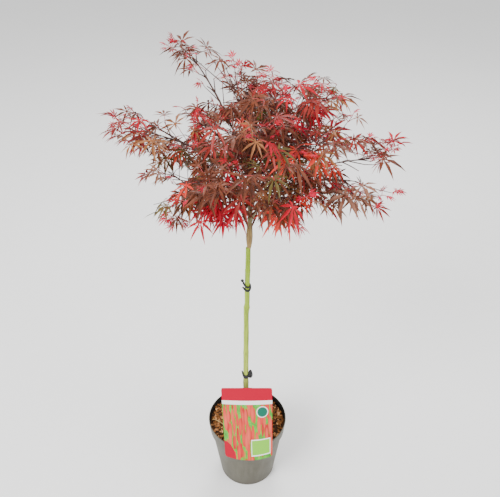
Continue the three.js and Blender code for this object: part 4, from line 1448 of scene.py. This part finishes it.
def makeCompostBed():
    bm = bmesh.new()
    cells, edge = compostSizes["cells"], compostSizes["edge"]
    bmesh.ops.create_grid(bm, x_segments=cells, y_segments=cells, size=edge * mm)
    gone = [v for v in bm.verts if v.co.xy.length > (edge + 1.5) * mm]
    bmesh.ops.delete(bm, geom=gone, context="VERTS")
    for vert in bm.verts:
        reach = vert.co.xy.length / mm
        if reach > edge:
            vert.co.xy *= edge / reach
        vert.co.z = compostHeight(vert.co.x / mm, vert.co.y / mm) * mm
    border = [e for e in bm.edges if e.is_boundary]
    grown = bmesh.ops.extrude_edge_only(bm, edges=border)["geom"]
    skirt = {g for g in grown if isinstance(g, bmesh.types.BMVert)}
    for reach, level in compostSizes["skirt"]:
        for vert in skirt:
            vert.co.z = level * mm
            vert.co.xy = vert.co.xy.normalized() * reach * mm
        bottom = [e for e in {e for v in skirt for e in v.link_edges} if all(v in skirt for v in e.verts)]
        if level > 10:
            grown = bmesh.ops.extrude_edge_only(bm, edges=bottom)["geom"]
            skirt = {g for g in grown if isinstance(g, bmesh.types.BMVert)}
    bmesh.ops.holes_fill(bm, edges=bottom, sides=0)
    bmesh.ops.recalc_face_normals(bm, faces=bm.faces)
    finish = makeCompostFinish("compostBedFinish", paint(104, 66, 36), paint(58, 36, 20))
    return fromBmesh("compostBed", bm, finish)


def makeChips():
    c = chipSizes
    shades = {
        "Dark": (paint(76, 48, 30), paint(36, 24, 16)),
        "Brown": (paint(146, 94, 50), paint(98, 60, 30)),
        "Rust": (paint(204, 152, 104), paint(154, 98, 58)),
    }
    chips = {kind: Joined() for kind in shades}
    draw = drawsFrom(compostSizes["seed"])
    corners = np.array([(x, y, z) for x in (-1, 1) for y in (-1, 1) for z in (-1, 1)], float)
    faces = [(0, 1, 3, 2), (4, 6, 7, 5), (0, 4, 5, 1), (2, 3, 7, 6), (0, 2, 6, 4), (1, 5, 7, 3)]
    least, more = c["corners"]
    for _ in range(c["count"]):
        x, y = onCompost(c["fromEdge"], draw)
        size = np.array([mix(*c["lengths"], draw() ** 2), between(c["widths"], draw),
                         between(c["thicknesses"], draw)])
        shape = corners * size * (least + more * np.array([[draw() for _ in range(3)] for _ in range(8)]))
        turn = Matrix.Rotation(2 * math.pi * draw(), 3, "Z")
        for axis, tilt in zip("YX", c["tilts"]):
            turn = turn @ Matrix.Rotation((draw() - 0.5) * tilt, 3, axis)
        if math.hypot(x - stemSizes["leanLow"], y) < compostSizes["stemRoom"] + size[0]:
            continue
        kind = c["kinds"][int(draw() * len(c["kinds"]))]
        lift = c["lift"][0] + draw() * c["lift"][1]
        chips[kind].add(shape @ np.array(turn).T + (x, y, compostHeight(x, y) + lift), faces)
    for kind, joined in chips.items():
        finish = makeCompostFinish("barkChip" + kind, *shades[kind])
        piece = joined.piece("barkChips" + kind, finish, smooth=False)
        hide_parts("compost")


def makeFibres():
    f = fibreSizes
    fibres = Joined()
    draw = drawsFrom(compostSizes["seed"] + 1)
    for _ in range(f["count"]):
        x, y = onCompost(f["fromEdge"], draw)
        heading = 2 * math.pi * draw()
        curl = (draw() - 0.5) * f["curl"]
        length = between(f["lengths"], draw)
        path = []
        for t in (0, 0.25, 0.5, 0.75, 1):
            angle = heading + curl * t
            path.append((x, y, compostHeight(x, y) + f["lift"] + f["arch"] * math.sin(math.pi * t)))
            x += math.cos(angle) * length / 4
            y += math.sin(angle) * length / 4
            over = math.hypot(x, y) / (compostSizes["edge"] - 3)
            if over > 1:
                x, y = x / over, y / over
        if min(math.hypot(p[0] - stemSizes["leanLow"], p[1]) for p in path) < compostSizes["stemRoom"]:
            continue
        fibres.add(*tube(np.array(path), [f["radius"]] * 5, 3))
    return fibres.piece("fibres", makeCompostFinish("fibre", paint(158, 112, 74), paint(104, 66, 42)))


def makeStraw():
    s = strawSizes
    straw = Joined()
    path = SmoothPath(s["path"])
    radii = [s["radius"] + s["ripple"] * math.sin(i) for i in range(s["steps"] + 1)]
    straw.add(*tube(np.array([path.at(i / s["steps"]) for i in range(s["steps"] + 1)]), radii, 6))
    return straw.piece("straw", makeCompostFinish("strawStalk", paint(198, 164, 104), paint(158, 124, 74)))


for piece in (makeCompostBed(), makeFibres(), makeStraw()):
    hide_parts("compost")
makeChips()
print("compost ready")


# Ties

tieSizes = {
    "sides": 10, "strand": 2.5, "thick": 1.3, "steps": 44, "tailSteps": 3, "tail": 0.55, "buckleSides": 8,
    # Each path runs round the stem: bearing in degrees, distance out from the bark, height
    "upper": {
        "at": 597,
        "paths": (
            ((176, 4.2, 606.5), (200, 2.6, 603), (226, 1.0, 599), (250, 0.8, 596.6), (280, 0.8, 595.4),
             (312, 0.8, 595.4), (345, 0.9, 596.8), (380, 0.9, 597.6), (430, 0.8, 597), (490, 0.8, 596)),
            ((206, 3.4, 592.6), (218, 1.9, 590.6), (236, 0.9, 588.2), (262, 0.8, 586.6), (292, 0.8, 586.2),
             (322, 0.8, 587.4), (352, 0.9, 590), (382, 0.9, 594), (410, 0.8, 596)),
        ),
        "knobs": (((174, 5.4, 608.2), (3.5, 2.8, 3.4)), ((203, 4.3, 593.8), (2.0, 1.6, 2.0))),
    },
    "lower": {
        "at": 333,
        "paths": (
            ((190, 2.2, 340), (204, 1.4, 336), (216, 0.9, 331), (236, 0.8, 327), (262, 0.8, 325.4),
             (290, 0.8, 325.4), (318, 0.9, 327.6), (350, 1.0, 330), (390, 0.8, 331), (440, 0.8, 331),
             (500, 0.8, 330)),
            ((222, 0.8, 332.5), (240, 0.8, 331.2), (262, 0.8, 330.4), (290, 0.8, 330.4), (318, 0.9, 331.6),
             (350, 1.0, 333)),
        ),
        "knobs": (((189, 2.6, 341.2), (1.8, 1.5, 2.2)), ((349, 4.3, 333), (3.3, 1.0, 10.0))),
        "buckle": ((349, 4.3, 334), (3.7, 11.2), 1.9),
    },
}


def roundStem(place, centre):
    bearing, out, height = place
    reach = stemRadius(centre[2]) + out
    middle = stemPoint(height)
    angle = math.radians(bearing)
    return np.array([middle[0] + reach * math.cos(angle), middle[1] + reach * math.sin(angle), height])


def makeTie(name, tieRubber):
    # A rubber strap wound round the stem, with short tails, a ball end or a buckle
    tie = tieSizes[name]
    centre = stemPoint(tie["at"])
    bm = bmesh.new()
    for places in tie["paths"]:
        line = SmoothPath([roundStem(place, centre) for place in places])
        steps = tieSizes["steps"]
        points = [line.at(i / steps) for i in range(steps + 1)]

        def strapRadius(index, angle):
            taper = min(1, mix(tieSizes["tail"], 1, min(index, steps - index) / tieSizes["tailSteps"]))
            flat, wide = tieSizes["thick"] * math.cos(angle), tieSizes["strand"] * math.sin(angle)
            return taper * math.hypot(flat, wide)

        sweep(bm, points, strapRadius, tieSizes["sides"])
    for place, size in tie["knobs"]:
        knob = bmesh.ops.create_icosphere(bm, subdivisions=3, radius=1)["verts"]
        bmesh.ops.scale(bm, verts=knob, vec=tuple(side * mm for side in size))
        bmesh.ops.translate(bm, verts=knob, vec=tuple(roundStem(place, centre) * mm))
    if "buckle" in tie:
        place, (wide, tall), thick = tie["buckle"]
        middle = roundStem(place, centre)
        loop = []
        for i in range(29):
            angle = 2 * math.pi * i / 28
            swell = 1 - 0.3 * math.sin(angle)  # wider at its lower end
            across, up = math.cos(angle), math.sin(angle)
            loop.append(middle + np.array([wide * swell * across, 0.6 * across, tall * up]))
        sides = tieSizes["buckleSides"]
        sweep(bm, loop, lambda index, angle: thick * (1.15 if 15 <= index <= 27 else 1), sides)
        bar = [middle + np.array([-wide * 0.9, 0, -2.5]), middle + np.array([wide * 0.9, 0, -1.5])]
        sweep(bm, [mix(*bar, i / 4) for i in range(5)], lambda index, angle: thick * 0.9, sides)
    bmesh.ops.recalc_face_normals(bm, faces=bm.faces)
    piece = fromBmesh(name + "Tie", bm, tieRubber)
    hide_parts(name + "_tie")


tieRubber = makeSkin("tieRubber", 0.55, 0.3, bump=(0.3, 0.0002), Light=paint(44, 46, 46),
                     Dark=paint(24, 26, 27), Patches=120, Grain=1500)
makeTie("upper", tieRubber)
makeTie("lower", tieRubber)
print("ties ready")


# Label: a printed card with plain bands and petal shapes

labelSizes = {
    "width": (111.0, 121.5), "centre": (4.0, -1.5), "thickness": 0.7, "lowY": -113.5, "topY": -7.6,
    "lowZ": 161.0, "topZ": 292.0, "bow": 13.0, "cells": 28, "corner": 0.02, "cornerCut": 0.008,
    "tongueWidth": 34.0, "tongueLow": 172.0, "tongueTop": 187.0, "tongueLean": 1.6, "tongueCentre": 1.0,
    "tongueThickness": 0.4, "gap": 0.3, "proud": 0.2,
}


def cardPoint(u, v):
    s = labelSizes
    bow = s["bow"] * (1 - v) * (2 * u - 1) ** 2
    x = mix(*s["centre"], v) + (u - 0.5) * mix(*s["width"], v)
    return Vector((x, mix(s["lowY"], s["topY"], v) + bow, mix(s["lowZ"], s["topZ"], v)))


def makePanelMask():
    group, start, end = newGroup("panelMask", {"Left": 0, "Right": 1, "Bottom": 0, "Top": 1}, "Mask")
    split = newNode(group, "ShaderNodeSeparateXYZ", {"Vector": start["Vector"]})
    mask = 1
    for axis, label, operation in (("X", "Left", "GREATER_THAN"), ("X", "Right", "LESS_THAN"),
                                   ("Y", "Bottom", "GREATER_THAN"), ("Y", "Top", "LESS_THAN")):
        mask = mathNode(group, "MULTIPLY", mask, mathNode(group, operation, split[axis], start[label]))
    feed(group, end, {"Mask": mask})
    return group


def makeOvalMask():
    group, start, end = newGroup("ovalMask", {"Centre": (0.5, 0.5, 0), "Stretch": (5, 5, 0)}, "Mask")
    away = vectorNode(group, "SUBTRACT", start["Vector"], start["Centre"])
    length = vectorNode(group, "LENGTH", vectorNode(group, "MULTIPLY", away, start["Stretch"]))
    feed(group, end, {"Mask": mathNode(group, "LESS_THAN", length, 1)})
    return group


white = paint(240, 240, 236)
cardPetals = {
    "shape": (1.0, 0.27, 1.0), "edge": (0.4, 0.46),
    # Turn, scale, middle and edge colours of each layer of petals
    "layers": (
        (0.5, 15, paint(206, 50, 48), paint(110, 16, 26)),
        (-0.8, 13, paint(228, 76, 62), paint(140, 22, 32)),
        (1.9, 12, paint(236, 100, 80), paint(160, 26, 34)),
    ),
}
cardLayout = [  # plain shapes over the petals, in the card's own 0 to 1 width and height
    ("panel", {"Left": -0.1, "Right": 1.1, "Bottom": 0.82, "Top": 1.1}, paint(178, 0, 44)),
    ("panel", {"Left": -0.1, "Right": 1.1, "Bottom": 0.765, "Top": 0.82}, white),
    ("oval", {"Centre": (0.8, 0.66, 0), "Stretch": (8.4, 12.5, 0)}, white),
    ("oval", {"Centre": (0.8, 0.66, 0), "Stretch": (9.8, 14.5, 0)}, paint(30, 104, 84)),
    ("panel", {"Left": 0.56, "Right": 0.96, "Bottom": 0.05, "Top": 0.28}, white),
    ("panel", {"Left": 0.575, "Right": 0.945, "Bottom": 0.065, "Top": 0.265}, paint(128, 196, 60)),
    ("oval", {"Centre": (0.0, 0.0, 0), "Stretch": (4.4, 4.4, 0)}, paint(176, 0, 42)),
]


def makeCardPrint():
    finish = Finish("cardPrint", 0.45, 0.12)
    tree = finish.tree
    finish.place = newNode(tree, "ShaderNodeTexCoord")["UV"]
    masks = {"panel": makePanelMask(), "oval": makeOvalMask()}
    field = finish.effect(softMottle, Light=paint(104, 190, 64), Dark=paint(60, 132, 48), Patches=9, Grain=60)
    colour = field["Color"]
    for turn, scale, light, dark in cardPetals["layers"]:
        inputs = {"Vector": finish.place, "Rotation": (0, 0, turn), "Scale": cardPetals["shape"]}
        place = newNode(tree, "ShaderNodeMapping", inputs)["Vector"]
        petals = newNode(tree, "ShaderNodeTexVoronoi", {"Vector": place, "Scale": scale}, feature="F1")
        near = rampNode(tree, petals["Distance"], *cardPetals["edge"], 1, 0)
        colour = mixNode(tree, near, colour, mixNode(tree, petals["Distance"], light, dark))
    for shape, values, tone in cardLayout:
        colour = mixNode(tree, finish.effect(masks[shape], **values)["Mask"], colour, tone)
    return finish.done(colour)


def makeCardBack():
    return makeSkin("cardBack", 0.35, 0.25, bump=(0.05, 0.0002), Light=paint(236, 236, 230),
                    Dark=paint(222, 222, 214), Patches=30, Grain=500)


def makeLabel():
    s = labelSizes
    bm = bmesh.new()
    cells = s["cells"]
    bmesh.ops.create_grid(bm, x_segments=cells, y_segments=cells, size=0.5)
    uvLayer = bm.loops.layers.uv.new("print")
    for face in bm.faces:
        for loop in face.loops:
            loop[uvLayer].uv = (loop.vert.co.x + 0.5, loop.vert.co.y + 0.5)
    corner = 0.5 - s["corner"]
    for vert in bm.verts:
        away = Vector((max(0, abs(vert.co.x) - corner), max(0, abs(vert.co.y) - corner)))
        if away.x > 0 and away.y > 0:
            vert.co.x -= math.copysign(s["cornerCut"], vert.co.x)
            vert.co.y -= math.copysign(s["cornerCut"], vert.co.y)
    for vert in bm.verts:
        vert.co = cardPoint(vert.co.x + 0.5, vert.co.y + 0.5)
    bmesh.ops.recalc_face_normals(bm, faces=bm.faces)
    if sum(face.normal.y for face in bm.faces) > 0:
        bmesh.ops.reverse_faces(bm, faces=bm.faces)
    front = list(bm.faces)
    bmesh.ops.solidify(bm, geom=front, thickness=s["thickness"])
    front = set(front)
    for face in bm.faces:
        face.material_index = 0 if face in front else 1
    tongue = bmesh.ops.create_grid(bm, x_segments=8, y_segments=6, size=0.5)["verts"]
    inside = -(potSizes["rimRadius"] - potSizes["wall"] - s["gap"] - s["thickness"])
    for vert in tongue:
        x, along = vert.co.x * s["tongueWidth"], vert.co.y + 0.5
        wall = inside + s["tongueLean"] * (1 - along) + x * x / (2 * potSizes["rimRadius"])
        z = mix(s["tongueLow"], s["tongueTop"], along)
        if along > 0.5:
            card = mix(s["lowY"], s["topY"], (z - s["lowZ"]) / (s["topZ"] - s["lowZ"]))
            wall = max(wall, card) + s["proud"]
        vert.co = Vector((s["tongueCentre"] + x, wall, z))
    faces = list({face for vert in tongue for face in vert.link_faces})
    for face in faces:
        face.material_index = 1
    bmesh.ops.solidify(bm, geom=faces, thickness=s["tongueThickness"])
    for vert in bm.verts:
        vert.co *= mm
    return fromBmesh("plantLabel", bm, makeCardPrint(), makeCardBack())


label = makeLabel()
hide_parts("plant_label")
print("label ready")


# Floor, lights and camera

studio = {
    "key": {"place": (-1.7, -1.9, 2.9), "size": 1.6, "power": 150},
    "fill": {"place": (2.1, -1.2, 1.9), "size": 1.6, "power": 26},
    "back": {"place": (0.3, 1.9, 2.6), "size": 1.4, "power": 60},
    "aim": (0, 0, 0.62), "sky": 1.05, "floorSize": 30,
    "floorLight": (0.92, 0.92, 0.915, 1), "floorDark": (0.9, 0.9, 0.895, 1),
}


def makeFloor():
    bm = bmesh.new()
    bmesh.ops.create_grid(bm, x_segments=2, y_segments=2, size=studio["floorSize"])
    mesh = bpy.data.meshes.new("studioFloor")
    bm.to_mesh(mesh)
    bm.free()
    mesh.materials.append(makeSkin("paleFloor", 0.9, 0.1, Light=studio["floorLight"],
                                   Dark=studio["floorDark"], Patches=1.5, Grain=30))
    floor = bpy.data.objects.new("studioFloor", mesh)
    scene.collection.objects.link(floor)


def makeLights():
    for name in ("key", "fill", "back"):
        light = bpy.data.lights.new(name + "Light", "AREA")
        light.shape = "DISK"
        light.size = studio[name]["size"]
        light.energy = studio[name]["power"]
        lamp = bpy.data.objects.new(name + "Light", light)
        lamp.location = studio[name]["place"]
        away = Vector(studio["aim"]) - lamp.location
        lamp.rotation_euler = away.to_track_quat("-Z", "Y").to_euler()
        scene.collection.objects.link(lamp)
    world = bpy.data.worlds.new("studioSky")
    world.use_nodes = True
    sky = world.node_tree.nodes["Background"]
    sky.inputs["Color"].default_value = (1, 1, 1, 1)
    sky.inputs["Strength"].default_value = studio["sky"]
    scene.world = world


def makeCamera():
    data = bpy.data.cameras.new("photoCamera")
    data.lens = photoCamera["lens"]
    data.sensor_width = photoCamera["sensor"]
    data.sensor_fit = "HORIZONTAL"
    data.dof.use_dof = False
    camera = bpy.data.objects.new("photoCamera", data)
    camera.location = photoCamera["place"]
    camera.rotation_euler = (math.radians(photoCamera["tilt"]), 0, 0)
    scene.collection.objects.link(camera)
    scene.camera = camera


makeFloor()
makeLights()
makeCamera()
print("studio ready")
